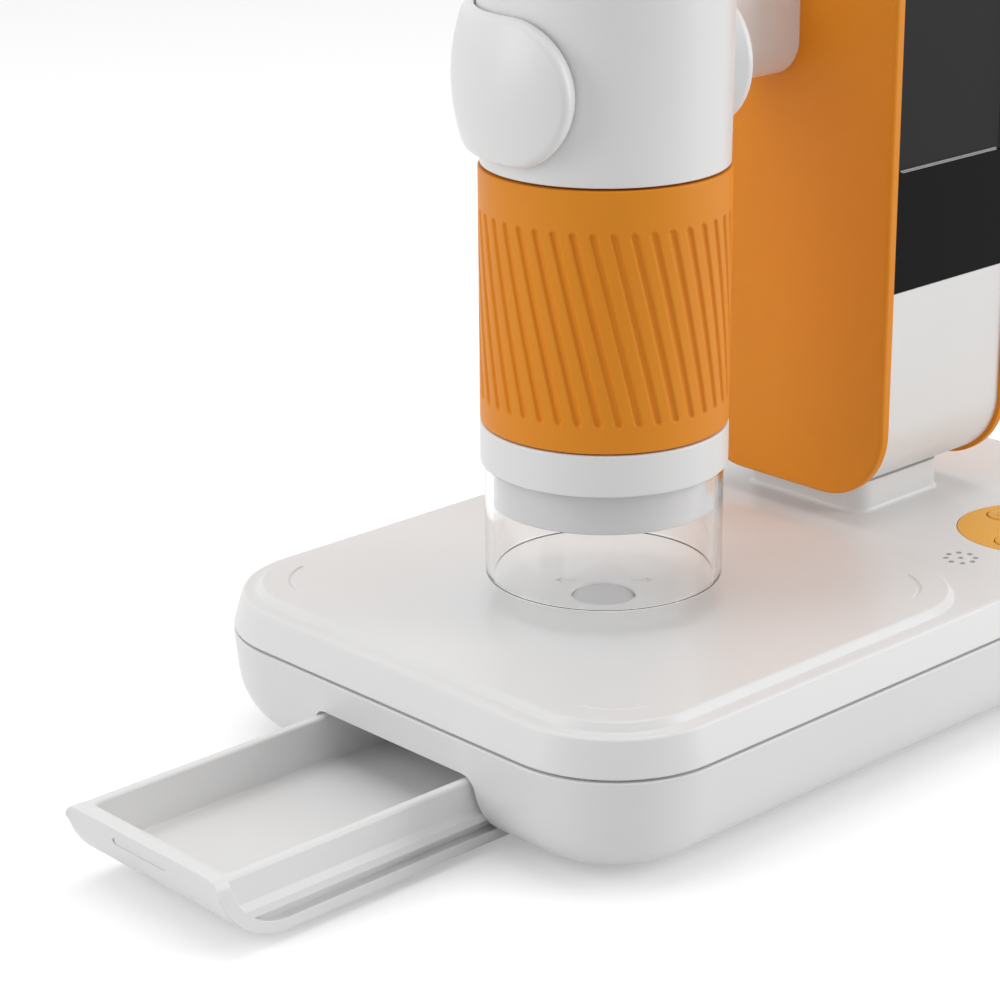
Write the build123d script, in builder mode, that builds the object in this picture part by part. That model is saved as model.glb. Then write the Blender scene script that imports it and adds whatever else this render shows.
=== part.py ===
from build123d import *
from math import cos, pi, radians, sin, sqrt, tan
import os

os.makedirs("parts", exist_ok=True)

# Digital microscope, millimetres. +Z is up, the origin is the centre of the base's plan on the
# surface that its feet stand on. +X runs along the base towards the tower, -Y is the front.

# Base, measured at the seam between its two shells
base_length = 160.0
base_depth = 101.2
base_corner = 20.0
base_wall = 2.4
foot_height = 1.2
foot_radius = 5.0
foot_inset = 18.3
lower_height = 18.45
lower_draft = 5.1
lower_edge = 12.8
seam_gap = 0.4
tongue_height = 1.5
tongue_wall = 1.0
tongue_inset = 1.4
upper_height = 6.05
upper_draft = 16.2
upper_edge = 0.8
fit_gap = 0.1

# Stage pad on the tube's end of the base
pad_inset = 5.1
pad_length = 87.1
pad_rise = 1.3
pad_slope = 1.0
pad_corner = 14.6
pad_mark_radius = 9.8
pad_mark_width = 0.9
pad_mark_depth = 0.3
pad_mark_arc = 62.0

# Optical axis and stage light
axis_x = -34.5
axis_y = -3.15
window_radius = 5.3
window_recess = 0.5
window_thickness = 1.3
window_ledge = 1.0
stage_led_radius = 2.5
stage_led_height = 3.6
led_board_radius = 8.0
board_thickness = 1.6
standoff_height = 1.5
standoff_wall = 1.5

# Drawer and its bay; the drawer is stored pulled out
drawer_y = -1.05
drawer_width = 36.8
drawer_length = 86.0
drawer_open = 49.2
drawer_lift = 0.45
drawer_top = 13.6
drawer_plate = 2.6
drawer_base = 1.95
drawer_wall = 1.8
drawer_wall_inset = 0.6
drawer_wall_drop = 0.45
drawer_floor = 5.35
drawer_front_wall = 1.0
drawer_inner_corner = 1.0
drawer_plate_corner = 2.2
groove_height = 2.0
groove_depth = 1.7
ledge_height = 1.5
ledge_slope = 1.2
pull_slot_length = 12.8
pull_slot_height = 1.2
pull_slot_depth = 0.5
pull_slot_drop = 2.4
pull_slot_shift = 0.7
bay_side_gap = 0.42
bay_top_gap = 0.3
bay_corner = 2.5
bay_wall = 1.6
bay_end_gap = 2.0
rail_gap = 0.35

# Speaker, control disc and keys
speaker_x = 22.5
speaker_y = -32.4
speaker_ring = 2.53
speaker_hole = 0.53
speaker_hole_count = 8
speaker_radius = 6.0
speaker_height = 3.0
disc_x = 42.6
disc_y = -31.8
disc_radius = 12.5
disc_thickness = 1.6
disc_gap = 0.12
disc_boss_wall = 1.2
disc_boss_depth = 3.6
key_count = 3
key_ring = 7.7
key_first_angle = 73.0
key_radius = 2.75
key_gap = 0.2
key_flange = 0.6
key_flange_height = 0.7
key_travel = 0.4
key_stem_radius = 1.2
key_stem_length = 3.3
key_rise = 0.1
key_play = 0.1
switch_size = 6.0
switch_height = 3.4
plunger_radius = 1.6
plunger_height = 0.8

# Boards, battery and inlet in the base
board_post_radius = 2.5
board_post_inset = 3.5
main_board_length = 34.0
main_board_depth = 27.0
main_board_x = 41.0
main_board_y = -30.5
battery_length = 44.0
battery_depth = 38.0
battery_height = 7.5
battery_x = 34.0
battery_y = 13.0
inlet_x = 60.0
inlet_width = 9.0
inlet_height = 3.2
inlet_length = 7.4
inlet_wall = 0.35
inlet_corner = 1.5
inlet_sink = 0.5
inlet_drop = 3.65
inlet_tongue_width = 6.0
inlet_tongue_height = 0.7
inlet_tongue_length = 5.0
inlet_board_length = 14.0
inlet_board_depth = 12.0
inlet_board_y = 40.0
left_screw_x = -44.0
left_screw_y = 31.0
right_screw_x = 62.5
right_screw_y = 14.0
screw_radius = 1.5
screw_head_radius = 2.8
screw_head_height = 1.8
screw_recess = 2.0
screw_grip = 6.0
lower_boss_radius = 4.2
lower_boss_height = 8.2
pillar_radius = 3.4
screw_gap = 0.05

# Tower, its pedestal and panels
tower_x = 38.1
tower_y = 6.85
tower_width = 31.4
tower_depth = 44.0
tower_bottom = 31.8
tower_height = 120.6
tower_corner = 12.6
tower_wall = 2.4
panel_thickness = 2.0
panel_proud = 0.8
panel_edge = 0.7
panel_rib = 1.2
panel_rib_depth = 3.0
panel_pin_radius = 1.5
panel_pin_grip = 5.0
panel_boss_radius = 3.0
panel_boss_sink = 0.5
rib_clearance = 1.0
pedestal_length = 23.8
pedestal_depth = 27.1
pedestal_corner = 4.0
pedestal_foot = 0.9
pedestal_wall = 2.4
tower_screw_x = 6.0
tower_screw_y = 7.0
tower_boss_height = 8.0
wire_hole_radius = 3.0
glass_bottom = 69.05
glass_top = 141.0
glass_thickness = 1.2
glass_gap = 0.1
display_bottom = 89.8
display_height = 40.8
display_width = 30.2
display_border = 3.5
display_thickness = 2.4
display_gap = 0.3
tower_board_width = 26.0
tower_board_height = 54.0

# Arm and clamp
arm_front = 5.05
arm_depth = 15.8
arm_bottom = 103.7
arm_height = 19.6
arm_corner = 6.6
clamp_z = 113.5
clamp_half = 11.4
clamp_bore = 20.25
clamp_outer = 24.0
clamp_shoulder = 22.35
clamp_shoulder_z = 10.2
clamp_rim = 1.0
clamp_end_angle = 182.4
arm_plate_size = 16.0
arm_plate_thickness = 1.5
arm_screw_spread = 4.5
arm_screw_length = 12.0

# Tube, from the clear cap up
cap_bottom = 31.5
cap_height = 19.2
cap_seat_gap = 0.1
cap_radius = 19.34
cap_wall = 1.3
spigot_length = 6.8
spigot_gap = 0.14
spigot_wall = 1.5
nose_height = 6.9
nose_radius = 20.05
nose_edge = 0.4
ring_gap = 0.25
focus_top = 99.5
focus_radius = 20.0
focus_wall = 2.1
focus_collar = 3.0
barrel_radius = 17.0
barrel_wall = 1.6
barrel_top = 104.0
running_gap = 0.08
head_gap = 0.35
head_foot_radius = 19.7
head_radius = 19.95
head_taper_top = 124.4
head_top = 150.0
head_wall = 2.0
head_edge = 1.5
head_flange = 2.0
barrel_shoulder = 0.7
barrel_shoulder_height = 1.5

# Slanted flutes of the focus ring
flute_count = 40
flute_bottom = 62.15
flute_top = 93.05
flute_width = 1.35
flute_depth = 0.5
flute_slant = 13.5
flute_top_angle = 3.7

# Optics and lights inside the tube
nose_window_thickness = 1.0
nose_window_rise = 0.4
led_board_rise = 3.2
led_board_hole = 8.0
led_count = 8
led_ring = 12.0
led_size = 2.8
led_height = 1.1
carrier_bottom = 49.6
carrier_height = 24.0
carrier_radius = 6.5
carrier_wall = 1.2
carrier_flange_z = 70.0
carrier_flange_height = 3.0
lens_radius = 5.2
lens_bulge = 1.0
lens_thickness = 3.6
lens_rise = 1.5
lens_ledge = 1.0
sensor_board_z = 90.0
sensor_size = 7.0
sensor_height = 1.2
sensor_ledge = 1.2

# Battery, boards, inlet and power button at the tube's top
top_cap_thickness = 2.4
top_cap_skirt = 6.0
top_cap_wall = 1.5
button_radius = 5.0
button_gap = 0.25
button_rise = 0.6
button_flange = 1.0
button_flange_height = 0.9
button_travel = 0.4
button_board_radius = 12.0
button_post_radius = 1.8
button_post_ring = 10.0
cell_radius = 8.5
cell_height = 33.0
cell_y = 3.0
tube_board_width = 18.0
tube_board_height = 30.0
tube_board_y = -8.0
tube_inlet_y = 11.0
tube_inlet_sink = 0.3

# Levels that follow from the sizes above
base_bottom = foot_height
lower_rim = base_bottom + lower_height
upper_rim = lower_rim + seam_gap
tongue_top = upper_rim + tongue_height
base_top = upper_rim + upper_height
pad_top = base_top + pad_rise
pad_x = -base_length / 2 + pad_inset + pad_length / 2
pad_depth = base_depth - 2 * pad_inset
nose_bottom = cap_bottom + cap_height + cap_seat_gap
nose_top = nose_bottom + nose_height
focus_bottom = nose_top + ring_gap
head_bottom = focus_top + head_gap
tower_front = tower_y - tower_depth / 2
tower_left = tower_x - tower_width / 2
tube_axis = Axis((axis_x, axis_y, 0), (0, 0, 1))
axial = Plane(origin=(axis_x, axis_y, 0), x_dir=(1, 0, 0), z_dir=(0, -1, 0))


# Base lower shell: one drafted tray with a large bottom radius, a tongue along its rim, and the
# drawer's bay, which is open at the end face and along the underside.
def lower_form(inset, edge):
    """Drafted block with a rounded bottom, inset by a wall from the outside."""
    with BuildPart() as form:
        with BuildSketch(Plane.XY.offset(base_bottom + inset)):
            RectangleRounded(base_length - 2 * inset, base_depth - 2 * inset, base_corner - inset)
        extrude(amount=lower_height - inset)
        walls = form.faces().filter_by(lambda face: abs(face.normal_at().Z) < 0.01)
        draft(walls, Plane.XY.offset(lower_rim), -lower_draft)
        fillet(form.faces().sort_by(Axis.Z)[0].edges(), edge)
    return form.part


bay_left = -base_length / 2
bay_end = bay_left + drawer_length + bay_end_gap
bay_top = drawer_top + bay_top_gap
bay_half = drawer_width / 2 + bay_side_gap
bay_length = bay_end - bay_left
drawer_bottom = base_bottom + drawer_lift
groove_bottom = drawer_bottom + drawer_base
groove_top = groove_bottom + groove_height
rail_bottom = groove_bottom + rail_gap
rail_height = groove_height - 2 * rail_gap
rail_inner = drawer_width / 2 - groove_depth + rail_gap

lower_outside = lower_form(0, lower_edge)
lower_inside = lower_form(base_wall, lower_edge - base_wall)

# The bay's slot through the shell, as seen from the tube's end
with BuildPart() as bay_slot:
    with BuildSketch(Plane.YZ.offset(bay_left - 1)):
        with Locations((drawer_y, 0)):
            Rectangle(2 * bay_half, bay_top, align=(Align.CENTER, Align.MIN))
    extrude(amount=bay_length + 1)
    fillet(bay_slot.edges().filter_by(Axis.X).group_by(Axis.Z)[-1], bay_corner)

# Roof, side walls, end wall and two rails of the bay, trimmed to the shell's outside
with BuildPart() as drawer_bay:
    with BuildSketch(Plane.XY.offset(base_bottom)):
        with Locations((bay_left, drawer_y)):
            Rectangle(
                bay_length + bay_wall,
                2 * (bay_half + bay_wall),
                align=(Align.MIN, Align.CENTER),
            )
    extrude(amount=bay_top + bay_wall - base_bottom)
    add(bay_slot.part, mode=Mode.SUBTRACT)
    with BuildSketch(Plane.XY.offset(rail_bottom)):
        for side in (-1, 1):
            with Locations((bay_left, drawer_y + side * (rail_inner + bay_half) / 2)):
                Rectangle(bay_length, bay_half - rail_inner, align=(Align.MIN, Align.CENTER))
    extrude(amount=rail_height)
    add(lower_outside, mode=Mode.INTERSECT)

screw_places = [
    (left_screw_x, -left_screw_y),
    (left_screw_x, left_screw_y),
    (right_screw_x, -right_screw_y),
    (right_screw_x, right_screw_y),
]
screw_head_bottom = base_bottom + screw_recess
screw_head_top = screw_head_bottom + screw_head_height
screw_joint = screw_head_top + lower_boss_height
screw_end = screw_joint + screw_grip

key_hole_radius = key_radius + key_gap
key_flange_top = base_top - disc_thickness - key_play
key_flange_bottom = key_flange_top - key_flange_height
key_stem_bottom = key_flange_bottom - key_stem_length
plunger_top = key_stem_bottom - key_travel - key_play
main_board_top = plunger_top - plunger_height - switch_height
main_board_bottom = main_board_top - board_thickness
inlet_z = lower_rim - inlet_drop
inlet_back = base_depth / 2 - inlet_sink
inlet_board_top = inlet_z - inlet_height / 2
inlet_board_bottom = inlet_board_top - board_thickness
bay_roof = bay_top + bay_wall
led_board_bottom = bay_roof + standoff_height
inside_floor = base_bottom + base_wall

main_posts = [
    (
        main_board_x + side * (main_board_length / 2 - board_post_inset),
        main_board_y + end * (main_board_depth / 2 - board_post_inset),
    )
    for side in (-1, 1)
    for end in (-1, 1)
]
inlet_posts = [
    (inlet_x + side * (inlet_board_length / 2 - board_post_inset), inlet_board_y - board_post_inset)
    for side in (-1, 1)
]

with BuildPart() as base_lower_shell:
    add(lower_outside)
    add(lower_inside, mode=Mode.SUBTRACT)
    add(bay_slot.part, mode=Mode.SUBTRACT)
    add(drawer_bay.part)
    # Tongue along the rim, which locates the upper shell
    with BuildSketch(Plane.XY.offset(lower_rim)):
        RectangleRounded(
            base_length - 2 * tongue_inset,
            base_depth - 2 * tongue_inset,
            base_corner - tongue_inset,
        )
        RectangleRounded(
            base_length - 2 * (tongue_inset + tongue_wall),
            base_depth - 2 * (tongue_inset + tongue_wall),
            base_corner - tongue_inset - tongue_wall,
            mode=Mode.SUBTRACT,
        )
    extrude(amount=tongue_top - lower_rim)
    # Screw bosses, board posts and the ring under the stage light
    with BuildSketch(Plane.XY.offset(base_bottom + base_wall / 2)):
        with Locations(*screw_places):
            Circle(lower_boss_radius)
    extrude(amount=screw_joint - base_bottom - base_wall / 2)
    with BuildSketch(Plane.XY.offset(base_bottom + base_wall / 2)):
        with Locations(*main_posts):
            Circle(board_post_radius)
    extrude(amount=main_board_bottom - base_bottom - base_wall / 2)
    with BuildSketch(Plane.XY.offset(base_bottom + base_wall / 2)):
        with Locations(*inlet_posts):
            Circle(board_post_radius)
    extrude(amount=inlet_board_bottom - base_bottom - base_wall / 2)
    with BuildSketch(Plane.XY.offset(bay_roof)):
        with Locations((axis_x, axis_y)):
            Circle(led_board_radius)
            Circle(led_board_radius - standoff_wall, mode=Mode.SUBTRACT)
    extrude(amount=standoff_height)
    # Holes for the screws and their sunk heads
    with BuildSketch(Plane.XY.offset(base_bottom)):
        with Locations(*screw_places):
            Circle(screw_head_radius + fit_gap)
    extrude(amount=screw_head_top - base_bottom, mode=Mode.SUBTRACT)
    with BuildSketch(Plane.XY.offset(base_bottom)):
        with Locations(*screw_places):
            Circle(screw_radius + screw_gap)
    extrude(amount=screw_joint - base_bottom, mode=Mode.SUBTRACT)
    # Slot in the back wall for the charging inlet
    with BuildSketch(Plane.XZ.offset(-base_depth / 2)):
        with Locations((inlet_x, inlet_z)):
            RectangleRounded(
                inlet_width + 2 * fit_gap, inlet_height + 2 * fit_gap, inlet_corner + fit_gap
            )
    extrude(amount=inlet_length, mode=Mode.SUBTRACT)
base_lower_shell.part.label = "base_lower_shell"
export_step(base_lower_shell.part, "parts/base_lower_shell.step")

# Four soft feet under the flat of the lower shell
with BuildPart() as base_feet:
    with BuildSketch():
        with GridLocations(base_length - 2 * foot_inset, base_depth - 2 * foot_inset, 2, 2):
            Circle(foot_radius)
    extrude(amount=foot_height)
base_feet.part.label = "base_feet"
export_step(base_feet.part, "parts/base_feet.step")


def screws(plane, places, length):
    """Pan-head screws with their heads at the plane and their shanks along its normal."""
    with BuildPart() as group:
        with BuildSketch(plane):
            with Locations(*places):
                Circle(screw_head_radius)
        extrude(amount=screw_head_height)
        with BuildSketch(plane.offset(screw_head_height)):
            with Locations(*places):
                Circle(screw_radius)
        extrude(amount=length)
    return group.part


base_screws = screws(Plane.XY.offset(screw_head_bottom), screw_places, screw_end - screw_head_top)
base_screws.label = "base_screws"
export_step(base_screws, "parts/base_screws.step")

# Base upper shell: tapered rim, flat top, raised stage pad with a sloped step, and the pedestal
# that carries the tower. It is open underneath and its wall is rebated for the lower tongue.
pedestal_top_wall = tower_bottom - pedestal_wall
disc_place = (disc_x, disc_y)
disc_boss_radius = disc_radius + disc_gap + disc_boss_wall
key_angles = [key_first_angle + i * 360 / key_count for i in range(key_count)]
key_places = [
    (disc_x + key_ring * cos(radians(a)), disc_y + key_ring * sin(radians(a))) for a in key_angles
]
tower_screw_places = [
    (tower_x + side * tower_screw_x, tower_y + end * tower_screw_y)
    for side in (-1, 1)
    for end in (-1, 1)
]
pad_mark_x = pad_length / 2 - pad_corner
pad_mark_y = pad_depth / 2 - pad_corner

with BuildPart() as base_upper_shell:
    with BuildSketch(Plane.XY.offset(upper_rim)):
        RectangleRounded(base_length, base_depth, base_corner)
    extrude(amount=upper_height, taper=upper_draft)
    fillet(base_upper_shell.faces().sort_by(Axis.Z)[-1].edges(), upper_edge)
    with BuildSketch(Plane.XY.offset(base_top)):
        with Locations((pad_x, 0)):
            RectangleRounded(pad_length + 2 * pad_slope, pad_depth + 2 * pad_slope, pad_corner + pad_slope)
    with BuildSketch(Plane.XY.offset(pad_top)):
        with Locations((pad_x, 0)):
            RectangleRounded(pad_length, pad_depth, pad_corner)
    loft(ruled=True)
    with BuildSketch(Plane.XY.offset(base_top)):
        with Locations((tower_x, tower_y)):
            RectangleRounded(pedestal_length, pedestal_depth, pedestal_corner)
    extrude(amount=tower_bottom - base_top)
    foot_edges = base_upper_shell.edges().filter_by_position(Axis.Z, base_top - 0.01, base_top + 0.01)
    foot_edges = foot_edges.filter_by_position(
        Axis.X, tower_x - pedestal_length / 2 - 1, tower_x + pedestal_length / 2 + 1
    )
    foot_edges = foot_edges.filter_by_position(
        Axis.Y, tower_y - pedestal_depth / 2 - 1, tower_y + pedestal_depth / 2 + 1
    )
    fillet(foot_edges, pedestal_foot)
    # Hollow underside: main cavity, tongue rebate, pad pocket and pedestal pocket
    with BuildSketch(Plane.XY.offset(upper_rim)):
        RectangleRounded(base_length - 2 * base_wall, base_depth - 2 * base_wall, base_corner - base_wall)
    extrude(amount=upper_height - base_wall, taper=upper_draft, mode=Mode.SUBTRACT)
    with BuildSketch(Plane.XY.offset(upper_rim)):
        RectangleRounded(
            base_length - 2 * (tongue_inset - fit_gap),
            base_depth - 2 * (tongue_inset - fit_gap),
            base_corner - tongue_inset + fit_gap,
        )
    extrude(amount=tongue_height, mode=Mode.SUBTRACT)
    with BuildSketch(Plane.XY.offset(base_top - base_wall)):
        with Locations((pad_x, 0)):
            RectangleRounded(pad_length - 2 * base_wall, pad_depth - 2 * base_wall, pad_corner - base_wall)
    extrude(amount=pad_rise, mode=Mode.SUBTRACT)
    with BuildSketch(Plane.XY.offset(base_top - base_wall)):
        with Locations((tower_x, tower_y)):
            RectangleRounded(
                pedestal_length - 2 * pedestal_wall,
                pedestal_depth - 2 * pedestal_wall,
                pedestal_corner - pedestal_wall,
            )
    extrude(amount=pedestal_top_wall - base_top + base_wall, mode=Mode.SUBTRACT)
    # Boss under the control disc, and pillars that take the base screws
    with BuildSketch(Plane.XY.offset(base_top - disc_boss_depth)):
        with Locations(disc_place):
            Circle(disc_boss_radius)
    extrude(amount=disc_boss_depth - base_wall / 2)
    with BuildSketch(Plane.XY.offset(screw_joint)):
        with Locations(*screw_places):
            Circle(pillar_radius)
    extrude(amount=base_top - base_wall / 4 - screw_joint)
    with BuildSketch(Plane.XY.offset(screw_joint)):
        with Locations(*screw_places):
            Circle(screw_radius + screw_gap)
    extrude(amount=screw_grip + fit_gap, mode=Mode.SUBTRACT)
    # Control disc's recess and the key holes through its boss
    with BuildSketch(Plane.XY.offset(base_top - disc_thickness)):
        with Locations(disc_place):
            Circle(disc_radius + disc_gap)
    extrude(amount=disc_thickness, mode=Mode.SUBTRACT)
    with BuildSketch(Plane.XY.offset(base_top - disc_boss_depth)):
        with Locations(*key_places):
            Circle(key_radius + key_flange + key_gap)
    extrude(amount=disc_boss_depth - disc_thickness, mode=Mode.SUBTRACT)
    # Speaker holes: one in the middle of a ring
    with BuildSketch(Plane.XY.offset(base_top - base_wall)):
        with Locations((speaker_x, speaker_y)):
            Circle(speaker_hole)
            with PolarLocations(speaker_ring, speaker_hole_count):
                Circle(speaker_hole)
    extrude(amount=base_wall, mode=Mode.SUBTRACT)
    # Seat and opening of the stage window
    with BuildSketch(Plane.XY.offset(pad_top - window_recess - window_thickness)):
        with Locations((axis_x, axis_y)):
            Circle(window_radius)
    extrude(amount=window_recess + window_thickness, mode=Mode.SUBTRACT)
    with BuildSketch(Plane.XY.offset(base_top - base_wall)):
        with Locations((axis_x, axis_y)):
            Circle(window_radius - window_ledge)
    extrude(amount=base_wall + pad_rise, mode=Mode.SUBTRACT)
    # Shallow arc groove inside each corner of the pad
    with BuildSketch(Plane.XY.offset(pad_top - pad_mark_depth)):
        for mark_angle, side, end in ((45, 1, 1), (135, -1, 1), (225, -1, -1), (315, 1, -1)):
            mark = CenterArc(
                (pad_x + side * pad_mark_x, end * pad_mark_y),
                pad_mark_radius,
                mark_angle - pad_mark_arc / 2,
                pad_mark_arc,
            )
            SlotArc(mark, pad_mark_width)
    extrude(amount=pad_mark_depth, mode=Mode.SUBTRACT)
    # Screw holes and wire hole between the pedestal and the tower
    with BuildSketch(Plane.XY.offset(pedestal_top_wall)):
        with Locations(*tower_screw_places):
            Circle(screw_radius + screw_gap)
        with Locations((tower_x, tower_y)):
            Circle(wire_hole_radius)
    extrude(amount=pedestal_wall, mode=Mode.SUBTRACT)
base_upper_shell.part.label = "base_upper_shell"
export_step(base_upper_shell.part, "parts/base_upper_shell.step")

# Stage window, its light and the light's board over the drawer bay
with BuildPart() as stage_window:
    with BuildSketch(Plane.XY.offset(pad_top - window_recess - window_thickness)):
        with Locations((axis_x, axis_y)):
            Circle(window_radius - fit_gap)
    extrude(amount=window_thickness)
stage_window.part.label = "stage_window"
export_step(stage_window.part, "parts/stage_window.step")

with BuildPart() as stage_led_board:
    with BuildSketch(Plane.XY.offset(led_board_bottom)):
        with Locations((axis_x, axis_y)):
            Circle(led_board_radius)
    extrude(amount=board_thickness)
stage_led_board.part.label = "stage_led_board"
export_step(stage_led_board.part, "parts/stage_led_board.step")

with BuildPart() as stage_led:
    with BuildSketch(Plane.XY.offset(led_board_bottom + board_thickness)):
        with Locations((axis_x, axis_y)):
            Circle(stage_led_radius)
    extrude(amount=stage_led_height)
    fillet(stage_led.faces().sort_by(Axis.Z)[-1].edges(), stage_led_radius * 0.9)
stage_led.part.label = "stage_led"
export_step(stage_led.part, "parts/stage_led.step")

# Speaker glued under its holes
with BuildPart() as speaker:
    with BuildSketch(Plane.XY.offset(base_top - base_wall - speaker_height)):
        with Locations((speaker_x, speaker_y)):
            Circle(speaker_radius)
    extrude(amount=speaker_height)
speaker.part.label = "speaker"
export_step(speaker.part, "parts/speaker.step")

# Control disc, flush in the top, with a round hole for each key
with BuildPart() as control_disc:
    with BuildSketch(Plane.XY.offset(base_top - disc_thickness)):
        with Locations(disc_place):
            Circle(disc_radius)
        with Locations(*key_places):
            Circle(key_hole_radius, mode=Mode.SUBTRACT)
    extrude(amount=disc_thickness)
control_disc.part.label = "control_disc"
export_step(control_disc.part, "parts/control_disc.step")

# Keys: a cap in the disc's hole, a flange that keeps it under the disc, and a stem to its switch
for number, place in enumerate(key_places, start=1):
    with BuildPart() as key:
        with BuildSketch(Plane.XY.offset(key_flange_bottom)):
            with Locations(place):
                Circle(key_radius + key_flange)
        extrude(amount=key_flange_height)
        with BuildSketch(Plane.XY.offset(key_flange_top)):
            with Locations(place):
                Circle(key_radius)
        extrude(amount=base_top + key_rise - key_flange_top)
        with BuildSketch(Plane.XY.offset(key_stem_bottom)):
            with Locations(place):
                Circle(key_stem_radius)
        extrude(amount=key_stem_length)
    key.part.label = f"key_{number}"
    export_step(key.part, f"parts/key_{number}.step")


def switches(plane, places):
    """Push switches: a square body with a round plunger on top."""
    with BuildPart() as group:
        with BuildSketch(plane):
            with Locations(*places):
                Rectangle(switch_size, switch_size)
        extrude(amount=switch_height)
        with BuildSketch(plane.offset(switch_height)):
            with Locations(*places):
                Circle(plunger_radius)
        extrude(amount=plunger_height)
    return group.part


key_switches = switches(Plane.XY.offset(main_board_top), key_places)
key_switches.label = "key_switches"
export_step(key_switches, "parts/key_switches.step")

# Main board on its four posts
with BuildPart() as main_board:
    with BuildSketch(Plane.XY.offset(main_board_bottom)):
        with Locations((main_board_x, main_board_y)):
            Rectangle(main_board_length, main_board_depth)
    extrude(amount=board_thickness)
main_board.part.label = "main_board"
export_step(main_board.part, "parts/main_board.step")

# Flat battery on the floor of the lower shell
with BuildPart() as base_battery:
    with BuildSketch(Plane.XY.offset(inside_floor)):
        with Locations((battery_x, battery_y)):
            RectangleRounded(battery_length, battery_depth, 2)
    extrude(amount=battery_height)
base_battery.part.label = "base_battery"
export_step(base_battery.part, "parts/base_battery.step")


def inlet(mouth, length):
    """Charging socket: a thin metal sleeve with a flat tongue, mouth at the plane."""
    with BuildPart() as socket:
        with BuildSketch(mouth):
            RectangleRounded(inlet_width, inlet_height, inlet_corner)
        extrude(amount=-length)
        with BuildSketch(mouth):
            RectangleRounded(
                inlet_width - 2 * inlet_wall, inlet_height - 2 * inlet_wall, inlet_corner - inlet_wall
            )
        extrude(amount=-(length - inlet_wall), mode=Mode.SUBTRACT)
        with BuildSketch(mouth.offset(-length)):
            Rectangle(inlet_tongue_width, inlet_tongue_height)
        extrude(amount=inlet_tongue_length)
    return socket.part


inlet_mouth = Plane(origin=(inlet_x, inlet_back, inlet_z), x_dir=(-1, 0, 0), z_dir=(0, 1, 0))
usb_inlet = inlet(inlet_mouth, inlet_length)
usb_inlet.label = "usb_inlet"
export_step(usb_inlet, "parts/usb_inlet.step")

with BuildPart() as inlet_board:
    with BuildSketch(Plane.XY.offset(inlet_board_bottom)):
        with Locations((inlet_x, inlet_board_y)):
            Rectangle(inlet_board_length, inlet_board_depth)
    extrude(amount=board_thickness)
inlet_board.part.label = "inlet_board"
export_step(inlet_board.part, "parts/inlet_board.step")

# Drawer: its J front follows the shell's face and runs on as the bottom plate. The tray on it
# has ledges outside its walls, and the gap between ledge and plate takes the bay's rails.
drawer_front = bay_left - drawer_open
drawer_back = drawer_front + drawer_length
drawer_half = drawer_width / 2
tray_half = drawer_half - drawer_wall_inset
tray_top = drawer_top - drawer_wall_drop
drawer_lean = tan(radians(lower_draft))
drawer_face = Plane.XZ.offset(-drawer_y)


def front_x(z):
    """Outer face of the drawer's front at a height, before its bottom radius."""
    return drawer_front + (lower_rim + drawer_lift - z) * drawer_lean


inside_front = front_x(drawer_top) + drawer_plate + drawer_front_wall
inside_back = drawer_back - drawer_wall

with BuildPart() as tray_space:
    with BuildSketch(drawer_face) as tray_side:
        with BuildLine():
            Polyline(
                (front_x(drawer_top), drawer_top),
                (front_x(drawer_bottom), drawer_bottom),
                (drawer_back, drawer_bottom),
                (drawer_back, drawer_top),
                close=True,
            )
        make_face()
        fillet(tray_side.vertices().group_by(Axis.Y)[0].sort_by(Axis.X)[0], lower_edge)
    extrude(amount=drawer_half, both=True)

with BuildPart() as tray:
    with BuildSketch(Plane.YZ.offset(drawer_front)):
        with Locations((drawer_y, groove_bottom)):
            Rectangle(
                2 * (drawer_half - groove_depth),
                groove_height,
                align=(Align.CENTER, Align.MIN),
            )
        with Locations((drawer_y, groove_top)):
            Rectangle(2 * drawer_half, ledge_height, align=(Align.CENTER, Align.MIN))
        with Locations((drawer_y, groove_top)):
            Rectangle(2 * tray_half, tray_top - groove_top, align=(Align.CENTER, Align.MIN))
        with BuildLine():
            Polyline(
                (drawer_y - drawer_half, groove_top + ledge_height),
                (drawer_y + drawer_half, groove_top + ledge_height),
                (drawer_y + tray_half, groove_top + ledge_height + ledge_slope),
                (drawer_y - tray_half, groove_top + ledge_height + ledge_slope),
                close=True,
            )
        make_face()
    extrude(amount=drawer_length)
    # Inside of the tray, leaving its walls and floor
    with BuildSketch(Plane.XY.offset(drawer_floor)):
        with Locations(((inside_front + inside_back) / 2, drawer_y)):
            RectangleRounded(
                inside_back - inside_front,
                2 * (tray_half - drawer_wall),
                drawer_inner_corner,
            )
    extrude(amount=drawer_top - drawer_floor, mode=Mode.SUBTRACT)
    add(tray_space.part, mode=Mode.INTERSECT)

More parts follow.
